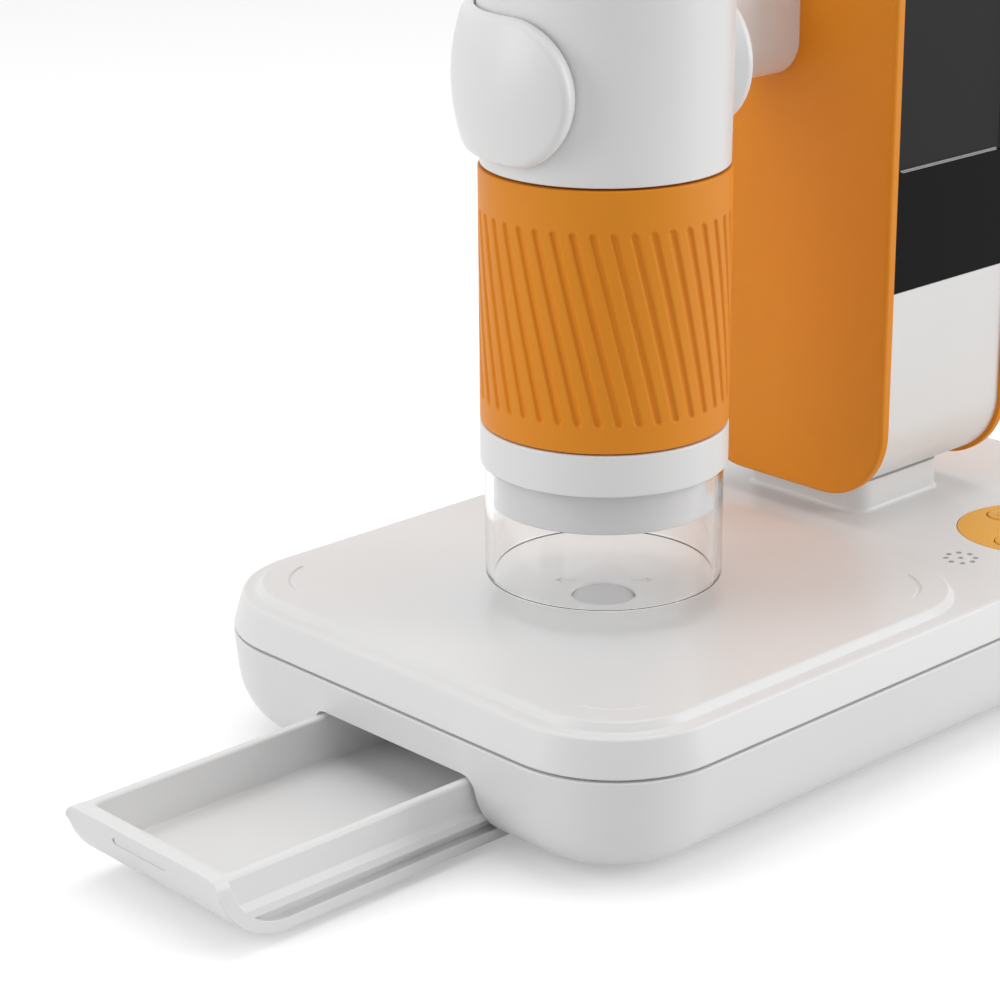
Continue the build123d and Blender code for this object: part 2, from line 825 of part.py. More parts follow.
with BuildPart() as drawer:
    with BuildSketch(drawer_face) as j_profile:
        with BuildLine():
            Polyline(
                (front_x(drawer_top), drawer_top),
                (front_x(drawer_bottom), drawer_bottom),
                (drawer_back, drawer_bottom),
                (drawer_back, groove_bottom),
                (front_x(groove_bottom) + drawer_plate, groove_bottom),
                (front_x(drawer_top) + drawer_plate, drawer_top),
                close=True,
            )
        make_face()
        inner_corner = j_profile.vertices().group_by(Axis.Y)[1].sort_by(Axis.X)[0]
        outer_corner = j_profile.vertices().group_by(Axis.Y)[0].sort_by(Axis.X)[0]
        fillet(outer_corner, lower_edge)
        fillet(inner_corner, lower_edge - drawer_plate)
    extrude(amount=drawer_half, both=True)
    with BuildSketch(Plane.YZ.offset(drawer_front)) as front_outline:
        with Locations((drawer_y, drawer_bottom)):
            Rectangle(drawer_width, drawer_top - drawer_bottom, align=(Align.CENTER, Align.MIN))
        fillet(front_outline.vertices().group_by(Axis.Y)[-1], drawer_plate_corner)
    extrude(amount=drawer_length, mode=Mode.INTERSECT)
    add(tray.part)
    # Finger slot in the front face and two slits along the front's top
    with BuildSketch(Plane.YZ.offset(front_x(drawer_top - pull_slot_drop) - 1)):
        with Locations((drawer_y + pull_slot_shift, drawer_top - pull_slot_drop)):
            SlotOverall(pull_slot_length, pull_slot_height)
    extrude(amount=1 + pull_slot_depth, mode=Mode.SUBTRACT)
drawer.part.label = "drawer"
export_step(drawer.part, "parts/drawer.step")

# Tower body: a rounded frame, open at both sides, whose front is recessed for the glass and
# open behind the display. Tubes across its corners take the side panels' pins.
tower_z = tower_bottom + tower_height / 2
glass_back = tower_front + glass_thickness
display_module_bottom = display_bottom - display_border
display_module_height = display_height + 2 * display_border
display_back = glass_back + display_thickness
corner_reach = (tower_corner - tower_wall - panel_boss_radius + panel_boss_sink) / sqrt(2)
pin_places = [
    (
        tower_y + side * (tower_depth / 2 - tower_corner + corner_reach),
        tower_z + end * (tower_height / 2 - tower_corner + corner_reach),
    )
    for side in (-1, 1)
    for end in (-1, 1)
]
rib_reach = panel_rib_depth + fit_gap
pin_length = rib_reach + panel_pin_grip

with BuildPart() as tower_body:
    with BuildSketch(Plane.YZ.offset(tower_left)):
        with Locations((tower_y, tower_z)):
            RectangleRounded(tower_depth, tower_height, tower_corner)
            RectangleRounded(
                tower_depth - 2 * tower_wall,
                tower_height - 2 * tower_wall,
                tower_corner - tower_wall,
                mode=Mode.SUBTRACT,
            )
    extrude(amount=tower_width)
    with BuildSketch(Plane.YZ.offset(tower_left + rib_reach)):
        with Locations(*pin_places):
            Circle(panel_boss_radius)
            Circle(panel_pin_radius + fit_gap, mode=Mode.SUBTRACT)
    extrude(amount=tower_width - 2 * rib_reach)
    with BuildSketch(Plane.XY.offset(tower_bottom + tower_wall / 2)):
        with Locations(*tower_screw_places):
            Circle(pillar_radius)
    extrude(amount=tower_boss_height)
    # Recess for the glass, and the opening for the display behind it
    with BuildSketch(Plane.YZ.offset(tower_left)):
        with Locations((tower_front, glass_bottom - glass_gap)):
            Rectangle(
                glass_thickness,
                glass_top - glass_bottom + 2 * glass_gap,
                align=(Align.MIN, Align.MIN),
            )
        with Locations((tower_front, display_module_bottom - display_gap)):
            Rectangle(
                tower_wall,
                display_module_height + 2 * display_gap,
                align=(Align.MIN, Align.MIN),
            )
    extrude(amount=tower_width, mode=Mode.SUBTRACT)
    # Screw holes and wire hole in the floor
    with BuildSketch(Plane.XY.offset(tower_bottom)):
        with Locations(*tower_screw_places):
            Circle(screw_radius + screw_gap)
    extrude(amount=tower_boss_height, mode=Mode.SUBTRACT)
    with BuildSketch(Plane.XY.offset(tower_bottom)):
        with Locations((tower_x, tower_y)):
            Circle(wire_hole_radius)
    extrude(amount=tower_wall, mode=Mode.SUBTRACT)
tower_body.part.label = "tower_body"
export_step(tower_body.part, "parts/tower_body.step")

tower_screw_length = pedestal_wall + tower_boss_height - 1
tower_screws = screws(
    Plane.XY.offset(pedestal_top_wall - screw_head_height), tower_screw_places, tower_screw_length
)
tower_screws.label = "tower_screws"
export_step(tower_screws, "parts/tower_screws.step")


def side_panel(holes):
    """Left side panel: slab with a rounded edge, and a rib and pins on its inner face."""
    inner_face = Plane.YZ.offset(tower_left)
    with BuildPart() as panel:
        with BuildSketch(inner_face):
            with Locations((tower_y, tower_z)):
                RectangleRounded(
                    tower_depth + 2 * panel_proud,
                    tower_height + 2 * panel_proud,
                    tower_corner + panel_proud,
                )
        extrude(amount=-panel_thickness)
        fillet(panel.faces().sort_by(Axis.X)[0].edges(), panel_edge)
        # Locating rib, left out where the display stands
        with BuildSketch(inner_face):
            with Locations((tower_y, tower_z)):
                RectangleRounded(
                    tower_depth - 2 * (tower_wall + fit_gap),
                    tower_height - 2 * (tower_wall + fit_gap),
                    tower_corner - tower_wall - fit_gap,
                )
                RectangleRounded(
                    tower_depth - 2 * (tower_wall + fit_gap + panel_rib),
                    tower_height - 2 * (tower_wall + fit_gap + panel_rib),
                    tower_corner - tower_wall - fit_gap - panel_rib,
                    mode=Mode.SUBTRACT,
                )
            with Locations((tower_front, tower_z)):
                Rectangle(
                    display_back + board_thickness + rib_clearance - tower_front,
                    tower_height,
                    align=(Align.MIN, Align.CENTER),
                    mode=Mode.SUBTRACT,
                )
        extrude(amount=panel_rib_depth)
        with BuildSketch(inner_face):
            with Locations(*pin_places):
                Circle(panel_pin_radius)
        extrude(amount=pin_length)
        if holes:
            with BuildSketch(inner_face):
                with Locations(*holes):
                    Circle(screw_radius + screw_gap)
            extrude(amount=-panel_thickness, mode=Mode.SUBTRACT)
    return panel.part


arm_y = arm_front + arm_depth / 2
arm_z = arm_bottom + arm_height / 2
arm_screw_places = [(arm_y, arm_z - arm_screw_spread), (arm_y, arm_z + arm_screw_spread)]

left_panel = side_panel(arm_screw_places)
left_panel.label = "left_panel"
export_step(left_panel, "parts/left_panel.step")

right_panel = mirror(side_panel([]), about=Plane.YZ.offset(tower_x))
right_panel.label = "right_panel"
export_step(right_panel, "parts/right_panel.step")

# Glass, flush with the tower's front over its full width, the display bonded behind it and
# the board on the display's back
with BuildPart() as display_glass:
    with BuildSketch(Plane.XZ.offset(-glass_back)):
        with Locations((tower_x, glass_bottom)):
            Rectangle(tower_width, glass_top - glass_bottom, align=(Align.CENTER, Align.MIN))
    extrude(amount=glass_thickness)
display_glass.part.label = "display_glass"
export_step(display_glass.part, "parts/display_glass.step")

with BuildPart() as display_module:
    with BuildSketch(Plane.XZ.offset(-display_back)):
        with Locations((tower_x, display_module_bottom)):
            Rectangle(display_width, display_module_height, align=(Align.CENTER, Align.MIN))
    extrude(amount=display_thickness)
display_module.part.label = "display_module"
export_step(display_module.part, "parts/display_module.step")

with BuildPart() as tower_board:
    with BuildSketch(Plane.XZ.offset(-(display_back + board_thickness))):
        with Locations((tower_x, display_module_bottom + display_module_height / 2)):
            Rectangle(tower_board_width, tower_board_height)
    extrude(amount=board_thickness)
tower_board.part.label = "tower_board"
export_step(tower_board.part, "parts/tower_board.step")

# Arm and clamp, one moulding: a barrelled ring open to the front, with half-round ends, and a
# rounded arm that runs from the ring's back to the left panel.
arm_end = tower_left - panel_thickness


def clamp_end_plane(angle):
    """Plane through the ring's middle, facing out along an end's direction."""
    out = Vector(cos(radians(angle)), sin(radians(angle)), 0)
    along = Vector(0, 0, 1).cross(out)
    if along.Y > 0:
        along = along * -1
    return Plane(origin=(axis_x, axis_y, clamp_z), x_dir=along, z_dir=out)


with BuildPart() as clamp_arm:
    with BuildSketch(axial):
        with BuildLine(Plane.XY.offset(0)):
            bulge = ThreePointArc(
                (clamp_shoulder, clamp_z - clamp_shoulder_z),
                (clamp_outer, clamp_z),
                (clamp_shoulder, clamp_z + clamp_shoulder_z),
            )
            Polyline(
                bulge @ 1,
                (clamp_shoulder - clamp_rim, clamp_z + clamp_half),
                (clamp_bore, clamp_z + clamp_half),
                (clamp_bore, clamp_z - clamp_half),
                (clamp_shoulder - clamp_rim, clamp_z - clamp_half),
                bulge @ 0,
            )
        make_face()
    revolve(axis=tube_axis)
    with BuildSketch(Plane.YZ.offset(axis_x)):
        with Locations((arm_y, arm_z)):
            RectangleRounded(arm_depth, arm_height, arm_corner)
    extrude(amount=arm_end - axis_x)
    with BuildSketch(Plane.XY.offset(clamp_z - clamp_half)):
        with Locations((axis_x, axis_y)):
            Circle(clamp_bore)
    extrude(amount=2 * clamp_half, mode=Mode.SUBTRACT)
    for end_angle in (clamp_end_angle, 540 - clamp_end_angle):
        with BuildSketch(clamp_end_plane(end_angle)):
            Rectangle(2 * clamp_outer, 3 * clamp_half, align=(Align.MIN, Align.CENTER))
            Circle(clamp_half, mode=Mode.SUBTRACT)
        extrude(amount=2 * clamp_outer, mode=Mode.SUBTRACT)
    with BuildSketch(Plane.YZ.offset(arm_end)):
        with Locations(*arm_screw_places):
            Circle(screw_radius + screw_gap)
    extrude(amount=-arm_screw_length, mode=Mode.SUBTRACT)
clamp_arm.part.label = "clamp_arm"
export_step(clamp_arm.part, "parts/clamp_arm.step")

# Steel plate inside the left panel that spreads the arm's load, and the arm's two screws
with BuildPart() as arm_plate:
    with BuildSketch(Plane.YZ.offset(tower_left)):
        with Locations((arm_y, arm_z)):
            RectangleRounded(arm_plate_size, arm_plate_size, 2)
        with Locations(*arm_screw_places):
            Circle(screw_radius + screw_gap, mode=Mode.SUBTRACT)
    extrude(amount=arm_plate_thickness)
arm_plate.part.label = "arm_plate"
export_step(arm_plate.part, "parts/arm_plate.step")

screw_seat = Plane(
    origin=(tower_left + arm_plate_thickness + screw_head_height, 0, 0),
    x_dir=(0, 1, 0),
    z_dir=(-1, 0, 0),
)
arm_screws = screws(
    screw_seat,
    [(y, -z) for y, z in arm_screw_places],
    arm_plate_thickness + panel_thickness + arm_screw_length - 1,
)
arm_screws.label = "arm_screws"
export_step(arm_screws, "parts/arm_screws.step")

# Tube head: a thin shell, slightly tapered below the clamp, with a flange that carries the barrel
barrel_bore = barrel_radius - barrel_wall
head_bore = head_radius - head_wall

with BuildPart() as head_shell:
    with BuildSketch(axial) as head_profile:
        with BuildLine():
            Polyline(
                (head_foot_radius, head_bottom),
                (head_radius, head_taper_top),
                (head_radius, head_top),
                (head_bore, head_top),
                (head_bore, head_bottom + head_flange),
                (barrel_radius + screw_gap, head_bottom + head_flange),
                (barrel_radius + screw_gap, head_bottom),
                close=True,
            )
        make_face()
        fillet(head_profile.vertices().group_by(Axis.Y)[-1].sort_by(Axis.X)[-1], head_edge)
    revolve(axis=tube_axis)
head_shell.part.label = "head_shell"
export_step(head_shell.part, "parts/head_shell.step")

# Inner barrel: hangs on the head's flange by its shoulder and closes at the top
with BuildPart() as inner_barrel:
    with BuildSketch(axial):
        with BuildLine():
            Polyline(
                (barrel_bore, nose_bottom),
                (barrel_radius, nose_bottom),
                (barrel_radius, head_bottom + head_flange),
                (barrel_radius + barrel_shoulder, head_bottom + head_flange),
                (barrel_radius + barrel_shoulder, head_bottom + head_flange + barrel_shoulder_height),
                (barrel_radius, head_bottom + head_flange + barrel_shoulder_height),
                (barrel_radius, barrel_top),
                (wire_hole_radius, barrel_top),
                (wire_hole_radius, barrel_top - barrel_wall),
                (barrel_bore, barrel_top - barrel_wall),
                (barrel_bore, sensor_board_z),
                (barrel_bore - sensor_ledge, sensor_board_z),
                (barrel_bore - sensor_ledge, sensor_board_z - sensor_ledge),
                (barrel_bore, sensor_board_z - sensor_ledge),
                close=True,
            )
        make_face()
    revolve(axis=tube_axis)
inner_barrel.part.label = "inner_barrel"
export_step(inner_barrel.part, "parts/inner_barrel.step")

# Nose ring and its spigot: the barrel stands on the step between them
spigot_bottom = nose_bottom - spigot_length
spigot_radius = cap_radius - cap_wall - spigot_gap
spigot_bore = spigot_radius - spigot_wall

with BuildPart() as nose_ring:
    with BuildSketch(axial) as nose_profile:
        with BuildLine():
            Polyline(
                (spigot_bore, spigot_bottom),
                (spigot_radius, spigot_bottom),
                (spigot_radius, nose_bottom),
                (nose_radius, nose_bottom),
                (nose_radius, nose_top),
                (barrel_radius + screw_gap, nose_top),
                (barrel_radius + screw_gap, nose_bottom),
                (spigot_bore, nose_bottom),
                close=True,
            )
        make_face()
        fillet(nose_profile.vertices().sort_by(Axis.X)[-2:], nose_edge)
    revolve(axis=tube_axis)
nose_ring.part.label = "nose_ring"
export_step(nose_ring.part, "parts/nose_ring.step")

# Focus ring: turns on the barrel by a collar at each end, and carries forty slanted flutes
focus_bore = focus_radius - focus_wall
flute_cutter = (flute_width**2 / 4 + flute_depth**2) / (2 * flute_depth)
flute_path_radius = focus_radius + flute_cutter - flute_depth
flute_rise = flute_top - flute_bottom - flute_width
flute_pitch = 2 * pi * focus_radius / tan(radians(flute_slant))
flute_turn = 360 * flute_rise / flute_pitch
flute_start = Plane(origin=(axis_x, axis_y, flute_bottom + flute_width / 2)).rotated(
    (0, 0, flute_top_angle + flute_turn)
)

with BuildPart() as flute:
    with BuildLine(flute_start):
        flute_path = Helix(flute_pitch, flute_rise, flute_path_radius, lefthand=True)
    with BuildSketch(Plane(origin=flute_path @ 0, z_dir=flute_path % 0)):
        Circle(flute_cutter)
    sweep(path=flute_path, is_frenet=True)
    with Locations(flute_path @ 0, flute_path @ 1):
        Sphere(flute_cutter)

with BuildPart() as focus_ring:
    with BuildSketch(axial):
        with BuildLine():
            Polyline(
                (barrel_radius + running_gap, focus_bottom),
                (focus_radius, focus_bottom),
                (focus_radius, focus_top),
                (barrel_radius + running_gap, focus_top),
                (barrel_radius + running_gap, focus_top - focus_collar),
                (focus_bore, focus_top - focus_collar),
                (focus_bore, focus_bottom + focus_collar),
                (barrel_radius + running_gap, focus_bottom + focus_collar),
                close=True,
            )
        make_face()
    revolve(axis=tube_axis)
    flute_places = [
        flute.part.rotate(tube_axis, i * 360 / flute_count) for i in range(flute_count)
    ]
    add(flute_places, mode=Mode.SUBTRACT)
focus_ring.part.label = "focus_ring"
export_step(focus_ring.part, "parts/focus_ring.step")

# Clear cap: an open tube pushed over the spigot
with BuildPart() as clear_cap:
    with BuildSketch(Plane.XY.offset(cap_bottom)):
        with Locations((axis_x, axis_y)):
            Circle(cap_radius)
            Circle(cap_radius - cap_wall, mode=Mode.SUBTRACT)
    extrude(amount=cap_height)
clear_cap.part.label = "clear_cap"
export_step(clear_cap.part, "parts/clear_cap.step")

# Window, ring of lights and their board inside the spigot
led_board_z = spigot_bottom + led_board_rise

with BuildPart() as nose_window:
    with BuildSketch(Plane.XY.offset(spigot_bottom + nose_window_rise)):
        with Locations((axis_x, axis_y)):
            Circle(spigot_bore - screw_gap)
    extrude(amount=nose_window_thickness)
nose_window.part.label = "nose_window"
export_step(nose_window.part, "parts/nose_window.step")

with BuildPart() as led_ring_board:
    with BuildSketch(Plane.XY.offset(led_board_z)):
        with Locations((axis_x, axis_y)):
            Circle(spigot_bore - screw_gap)
            Circle(led_board_hole, mode=Mode.SUBTRACT)
    extrude(amount=board_thickness)
led_ring_board.part.label = "led_ring_board"
export_step(led_ring_board.part, "parts/led_ring_board.step")

with BuildPart() as nose_leds:
    with BuildSketch(Plane.XY.offset(led_board_z - led_height)):
        with Locations((axis_x, axis_y)):
            with PolarLocations(led_ring, led_count):
                Rectangle(led_size, led_size)
    extrude(amount=led_height)
nose_leds.part.label = "nose_leds"
export_step(nose_leds.part, "parts/nose_leds.step")

# Lens carrier: slides in the barrel by its flange, with the lens on a ledge at its lower end
carrier_bore = carrier_radius - carrier_wall
carrier_top = carrier_bottom + carrier_height

with BuildPart() as lens_carrier:
    with BuildSketch(axial):
        with BuildLine():
            Polyline(
                (carrier_bore - lens_ledge, carrier_bottom),
                (carrier_radius, carrier_bottom),
                (carrier_radius, carrier_flange_z),
                (barrel_bore - running_gap, carrier_flange_z),
                (barrel_bore - running_gap, carrier_flange_z + carrier_flange_height),
                (carrier_radius, carrier_flange_z + carrier_flange_height),
                (carrier_radius, carrier_top),
                (carrier_bore, carrier_top),
                (carrier_bore, carrier_bottom + lens_rise),
                (carrier_bore - lens_ledge, carrier_bottom + lens_rise),
                close=True,
            )
        make_face()
    revolve(axis=tube_axis)
lens_carrier.part.label = "lens_carrier"
export_step(lens_carrier.part, "parts/lens_carrier.step")

lens_curve = (lens_radius**2 + lens_bulge**2) / (2 * lens_bulge)
lens_ledge_bore = carrier_bore - lens_ledge
lens_sag = lens_curve - sqrt(lens_curve**2 - lens_ledge_bore**2)
lens_bottom = carrier_bottom + lens_rise - lens_sag

with BuildPart() as objective_lens:
    with BuildSketch(Plane.XY.offset(lens_bottom)):
        with Locations((axis_x, axis_y)):
            Circle(lens_radius)
    extrude(amount=lens_thickness)
    with Locations((axis_x, axis_y, lens_bottom + lens_curve)):
        Sphere(lens_curve, mode=Mode.INTERSECT)
    with Locations((axis_x, axis_y, lens_bottom + lens_thickness - lens_curve)):
        Sphere(lens_curve, mode=Mode.INTERSECT)
objective_lens.part.label = "objective_lens"
export_step(objective_lens.part, "parts/objective_lens.step")

# Image sensor and its board, on the barrel's ledge
with BuildPart() as image_sensor_board:
    with BuildSketch(Plane.XY.offset(sensor_board_z)):
        with Locations((axis_x, axis_y)):
            Circle(barrel_bore - running_gap)
    extrude(amount=board_thickness)
    with BuildSketch(Plane.XY.offset(sensor_board_z)):
        with Locations((axis_x, axis_y)):
            Rectangle(sensor_size, sensor_size)
    extrude(amount=-sensor_height)
image_sensor_board.part.label = "image_sensor_board"
export_step(image_sensor_board.part, "parts/image_sensor_board.step")

# Cell and board that stand on the barrel inside the head
with BuildPart() as tube_battery:
    with BuildSketch(Plane.XY.offset(barrel_top)):
        with Locations((axis_x, axis_y + cell_y)):
            Circle(cell_radius)
    extrude(amount=cell_height)
tube_battery.part.label = "tube_battery"
export_step(tube_battery.part, "parts/tube_battery.step")

with BuildPart() as tube_board:
    with BuildSketch(Plane.XY.offset(barrel_top)):
        with Locations((axis_x, axis_y + tube_board_y)):
            Rectangle(tube_board_width, board_thickness)
    extrude(amount=tube_board_height)
tube_board.part.label = "tube_board"
export_step(tube_board.part, "parts/tube_board.step")

# Top cap with the power button's hole and the charging slot, and the button's board under it
cap_face = head_top - head_edge
cap_underside = cap_face - top_cap_thickness
top_cap_radius = head_bore - fit_gap
button_flange_top = cap_underside - key_play
button_flange_bottom = button_flange_top - button_flange_height
button_board_top = button_flange_bottom - button_travel - key_play - plunger_height - switch_height
tube_inlet_top = cap_face - tube_inlet_sink

with BuildPart() as top_cap:
    with BuildSketch(Plane.XY.offset(cap_underside)):
        with Locations((axis_x, axis_y)):
            Circle(top_cap_radius)
            Circle(button_radius + button_gap, mode=Mode.SUBTRACT)
        with Locations((axis_x, axis_y + tube_inlet_y)):
            RectangleRounded(
                inlet_width + 2 * fit_gap,
                inlet_height + 2 * fit_gap,
                inlet_corner + fit_gap,
                mode=Mode.SUBTRACT,
            )
    extrude(amount=top_cap_thickness)
    with BuildSketch(Plane.XY.offset(cap_underside - top_cap_skirt)):
        with Locations((axis_x, axis_y)):
            Circle(top_cap_radius)
            Circle(top_cap_radius - top_cap_wall, mode=Mode.SUBTRACT)
    extrude(amount=top_cap_skirt)
    with BuildSketch(Plane.XY.offset(button_board_top)):
        with Locations((axis_x - button_post_ring, axis_y), (axis_x + button_post_ring, axis_y)):
            Circle(button_post_radius)
    extrude(amount=cap_underside - button_board_top)
top_cap.part.label = "top_cap"
export_step(top_cap.part, "parts/top_cap.step")

with BuildPart() as power_button:
    with BuildSketch(Plane.XY.offset(button_flange_bottom)):
        with Locations((axis_x, axis_y)):
            Circle(button_radius + button_flange)
    extrude(amount=button_flange_height)
    with BuildSketch(Plane.XY.offset(button_flange_top)):
        with Locations((axis_x, axis_y)):
            Circle(button_radius)
    extrude(amount=cap_face + button_rise - button_flange_top)
    fillet(power_button.faces().sort_by(Axis.Z)[-1].edges(), button_rise / 2)
power_button.part.label = "power_button"
export_step(power_button.part, "parts/power_button.step")

power_switch = switches(Plane.XY.offset(button_board_top), [(axis_x, axis_y)])
power_switch.label = "power_switch"
export_step(power_switch, "parts/power_switch.step")

with BuildPart() as button_board:
    with BuildSketch(Plane.XY.offset(button_board_top - board_thickness)):
        with Locations((axis_x, axis_y)):
            Circle(button_board_radius)
    extrude(amount=board_thickness)
button_board.part.label = "button_board"
export_step(button_board.part, "parts/button_board.step")

tube_inlet_mouth = Plane(origin=(axis_x, axis_y + tube_inlet_y, tube_inlet_top))
tube_inlet = inlet(tube_inlet_mouth, tube_inlet_top - button_board_top)
tube_inlet.label = "tube_inlet"
export_step(tube_inlet, "parts/tube_inlet.step")
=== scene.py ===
from math import atan2, cos, hypot, pi, radians, sin, sqrt, tan

import bmesh
import bpy
from mathutils import Matrix, Vector


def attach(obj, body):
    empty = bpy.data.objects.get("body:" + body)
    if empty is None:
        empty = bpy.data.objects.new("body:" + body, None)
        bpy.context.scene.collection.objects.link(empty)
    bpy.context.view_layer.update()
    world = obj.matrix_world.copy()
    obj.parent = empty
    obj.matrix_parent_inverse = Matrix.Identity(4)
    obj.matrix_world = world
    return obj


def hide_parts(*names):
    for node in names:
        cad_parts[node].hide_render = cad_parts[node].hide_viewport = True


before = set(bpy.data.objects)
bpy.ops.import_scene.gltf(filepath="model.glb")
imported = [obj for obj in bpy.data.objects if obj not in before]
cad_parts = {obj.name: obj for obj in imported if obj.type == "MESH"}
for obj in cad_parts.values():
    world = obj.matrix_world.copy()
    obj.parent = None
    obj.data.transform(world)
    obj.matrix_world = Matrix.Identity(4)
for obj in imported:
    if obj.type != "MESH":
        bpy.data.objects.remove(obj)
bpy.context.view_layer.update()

mm = 0.001

# The room
# A pale paper floor under the object and white behind it, with two soft boxes at its sides and a
# wide soft light overhead. The camera looks down over the drawer's corner of the base.
camera_place = Vector((-348.387, -312.686, 200.828)) * mm
camera_right = Vector((0.72697721, -0.68661659, -0.00786055))
camera_up = Vector((0.23625593, 0.23936214, 0.94174779))
camera_back = Vector((-0.64473814, -0.68648628, 0.33622806))
sensor_width, focal_length = 36, 103.46

camera_data = bpy.data.cameras.new("camera")
camera_data.sensor_width = sensor_width
camera_data.lens = focal_length
camera_data.clip_start = 0.01
camera_data.clip_end = 20
camera = bpy.data.objects.new("camera", camera_data)
camera.matrix_world = Matrix(
    [
        [camera_right[i], camera_up[i], camera_back[i], camera_place[i]]
        for i in range(3)
    ]
    + [[0, 0, 0, 1]]
)
bpy.context.scene.collection.objects.link(camera)
bpy.context.scene.camera = camera
bpy.context.scene.view_settings.view_transform = "Standard"


def soft_box(name, place, towards, width, height, watts):
    """An area lamp at a place, turned towards a point."""
    lamp = bpy.data.lights.new(name, "AREA")
    lamp.shape = "RECTANGLE"
    lamp.size = width
    lamp.size_y = height
    lamp.energy = watts
    box = bpy.data.objects.new(name, lamp)
    box.location = place
    box.rotation_mode = "QUATERNION"
    box.rotation_quaternion = (Vector(towards) - Vector(place)).to_track_quat("-Z", "Y")
    bpy.context.scene.collection.objects.link(box)


tube_middle = (-0.03, 0, 0.07)
soft_box("lamp_left", (-0.95, 0.45, 0.50), tube_middle, 0.60, 0.90, 4.0)
soft_box("lamp_right", (0.75, -0.85, 0.45), tube_middle, 0.60, 0.90, 6.0)
soft_box("lamp_top", (0.0, 0.1, 1.3), tube_middle, 1.2, 1.2, 8.0)


def seen_white(tree, level):
    """A level that counts only for what the camera, a gloss or a clear piece sees directly."""
    path = tree.nodes.new("ShaderNodeLightPath")
    seen = path.outputs["Is Camera Ray"]
    for ray_kind in ("Is Glossy Ray", "Is Transmission Ray"):
        either = tree.nodes.new("ShaderNodeMath")
        either.operation = "ADD"
        either.use_clamp = True
        tree.links.new(seen, either.inputs[0])
        tree.links.new(path.outputs[ray_kind], either.inputs[1])
        seen = either.outputs[0]
    scale = tree.nodes.new("ShaderNodeMath")
    scale.operation = "MULTIPLY"
    scale.inputs[1].default_value = level
    tree.links.new(seen, scale.inputs[0])
    return scale.outputs[0]


world = bpy.data.worlds.new("room")
bpy.context.scene.world = world
world.use_nodes = True
world_nodes = world.node_tree.nodes
ambient = world_nodes["Background"]
ambient.inputs["Color"].default_value = (1, 1, 1, 1)
ambient.inputs["Strength"].default_value = 0.36
backdrop = world_nodes.new("ShaderNodeBackground")
backdrop.inputs["Color"].default_value = (1, 1, 1, 1)
backdrop.inputs["Strength"].default_value = 1.0
choose = world_nodes.new("ShaderNodeMixShader")
backdrop_seen = seen_white(world.node_tree, 1.0)
world_links = world.node_tree.links
world_links.new(backdrop_seen, choose.inputs["Fac"])
world_links.new(ambient.outputs[0], choose.inputs[1])
world_links.new(backdrop.outputs[0], choose.inputs[2])
world_links.new(choose.outputs[0], world_nodes["World Output"].inputs["Surface"])

floor_mesh = bpy.data.meshes.new("floor")
floor_reach = 3.0
floor_corners = [(x * floor_reach, y * floor_reach, 0)
                 for x, y in ((-1, -1), (1, -1), (1, 1), (-1, 1))]
floor_mesh.from_pydata(floor_corners, [], [(0, 1, 2, 3)])
floor = bpy.data.objects.new("floor", floor_mesh)
bpy.context.scene.collection.objects.link(floor)
paper = bpy.data.materials.new("floor_paper")
paper.use_nodes = True
paper_base = paper.node_tree.nodes["Principled BSDF"]
paper_base.inputs["Base Color"].default_value = (0.82, 0.82, 0.82, 1)
paper_base.inputs["Roughness"].default_value = 0.9
paper_base.inputs["Specular IOR Level"].default_value = 0.1
paper_glow = seen_white(paper.node_tree, 0.32)
paper_base.inputs["Emission Color"].default_value = (1, 1, 1, 1)
paper.node_tree.links.new(paper_glow, paper_base.inputs["Emission Strength"])
floor_mesh.materials.append(paper)

# Base lower shell
# The tray of the base: satin white plastic, moulded in one with the drawer's bay, its sides
# drawn in a little towards the floor and rolled under in a large radius. Its rim carries a thin
# tongue that the upper shell drops over, which leaves a dark line round the base.
base_length, base_depth, base_corner = 160.0, 101.2, 20.0
base_wall, base_roll = 2.4, 12.8
base_bottom, lower_rim, upper_rim, base_top = 1.2, 19.65, 20.05, 26.1
tongue_top, tongue_inset = 21.55, 1.4
side_lean = tan(radians(5.1))
lower_inset = (lower_rim - base_bottom) * side_lean
rim_edge = 0.3
far_in = 30  # a block's flat faces are drawn in by this much before they close
drawer_y = -1.05
bay_half, bay_roof, bay_end, bay_wall, bay_soft = 18.82, 13.9, 8.0, 1.6, 2.5
rail_inner, rail_bottom, rail_top, rail_start, rail_clearance = 17.05, 3.95, 5.25, -64.0, 0.5
past_left_end = -90
screw_places = [(-44.0, -31.0), (-44.0, 31.0), (62.5, -14.0), (62.5, 14.0)]
sink_radius, sink_top = 2.9, 4.9
inlet_x, inlet_z = 60.0, 16.0
inlet_width, inlet_height, inlet_corner = 9.2, 3.4, 1.6


def soften(corners, steps=6, closed=False):
    """A line of (across, up, radius) corners with each corner rounded to its radius."""
    line = []
    count = len(corners)
    for i, (across, up, radius) in enumerate(corners):
        here = Vector((across, up))
        if radius == 0 or (not closed and i in (0, count - 1)):
            line.append((across, up))
            continue
        before = (Vector(corners[i - 1][:2]) - here).normalized()
        after = (Vector(corners[(i + 1) % count][:2]) - here).normalized()
        half = before.angle(after) / 2
        centre = here + (before + after).normalized() * radius / sin(half)
        start = here + before * radius / tan(half) - centre
        end = here + after * radius / tan(half) - centre
        first = atan2(start.y, start.x)
        turn = (atan2(end.y, end.x) - first + pi) % (2 * pi) - pi
        for k in range(steps + 1):
            angle = first + turn * k / steps
            line.append((centre.x + radius * cos(angle), centre.y + radius * sin(angle)))
    return line


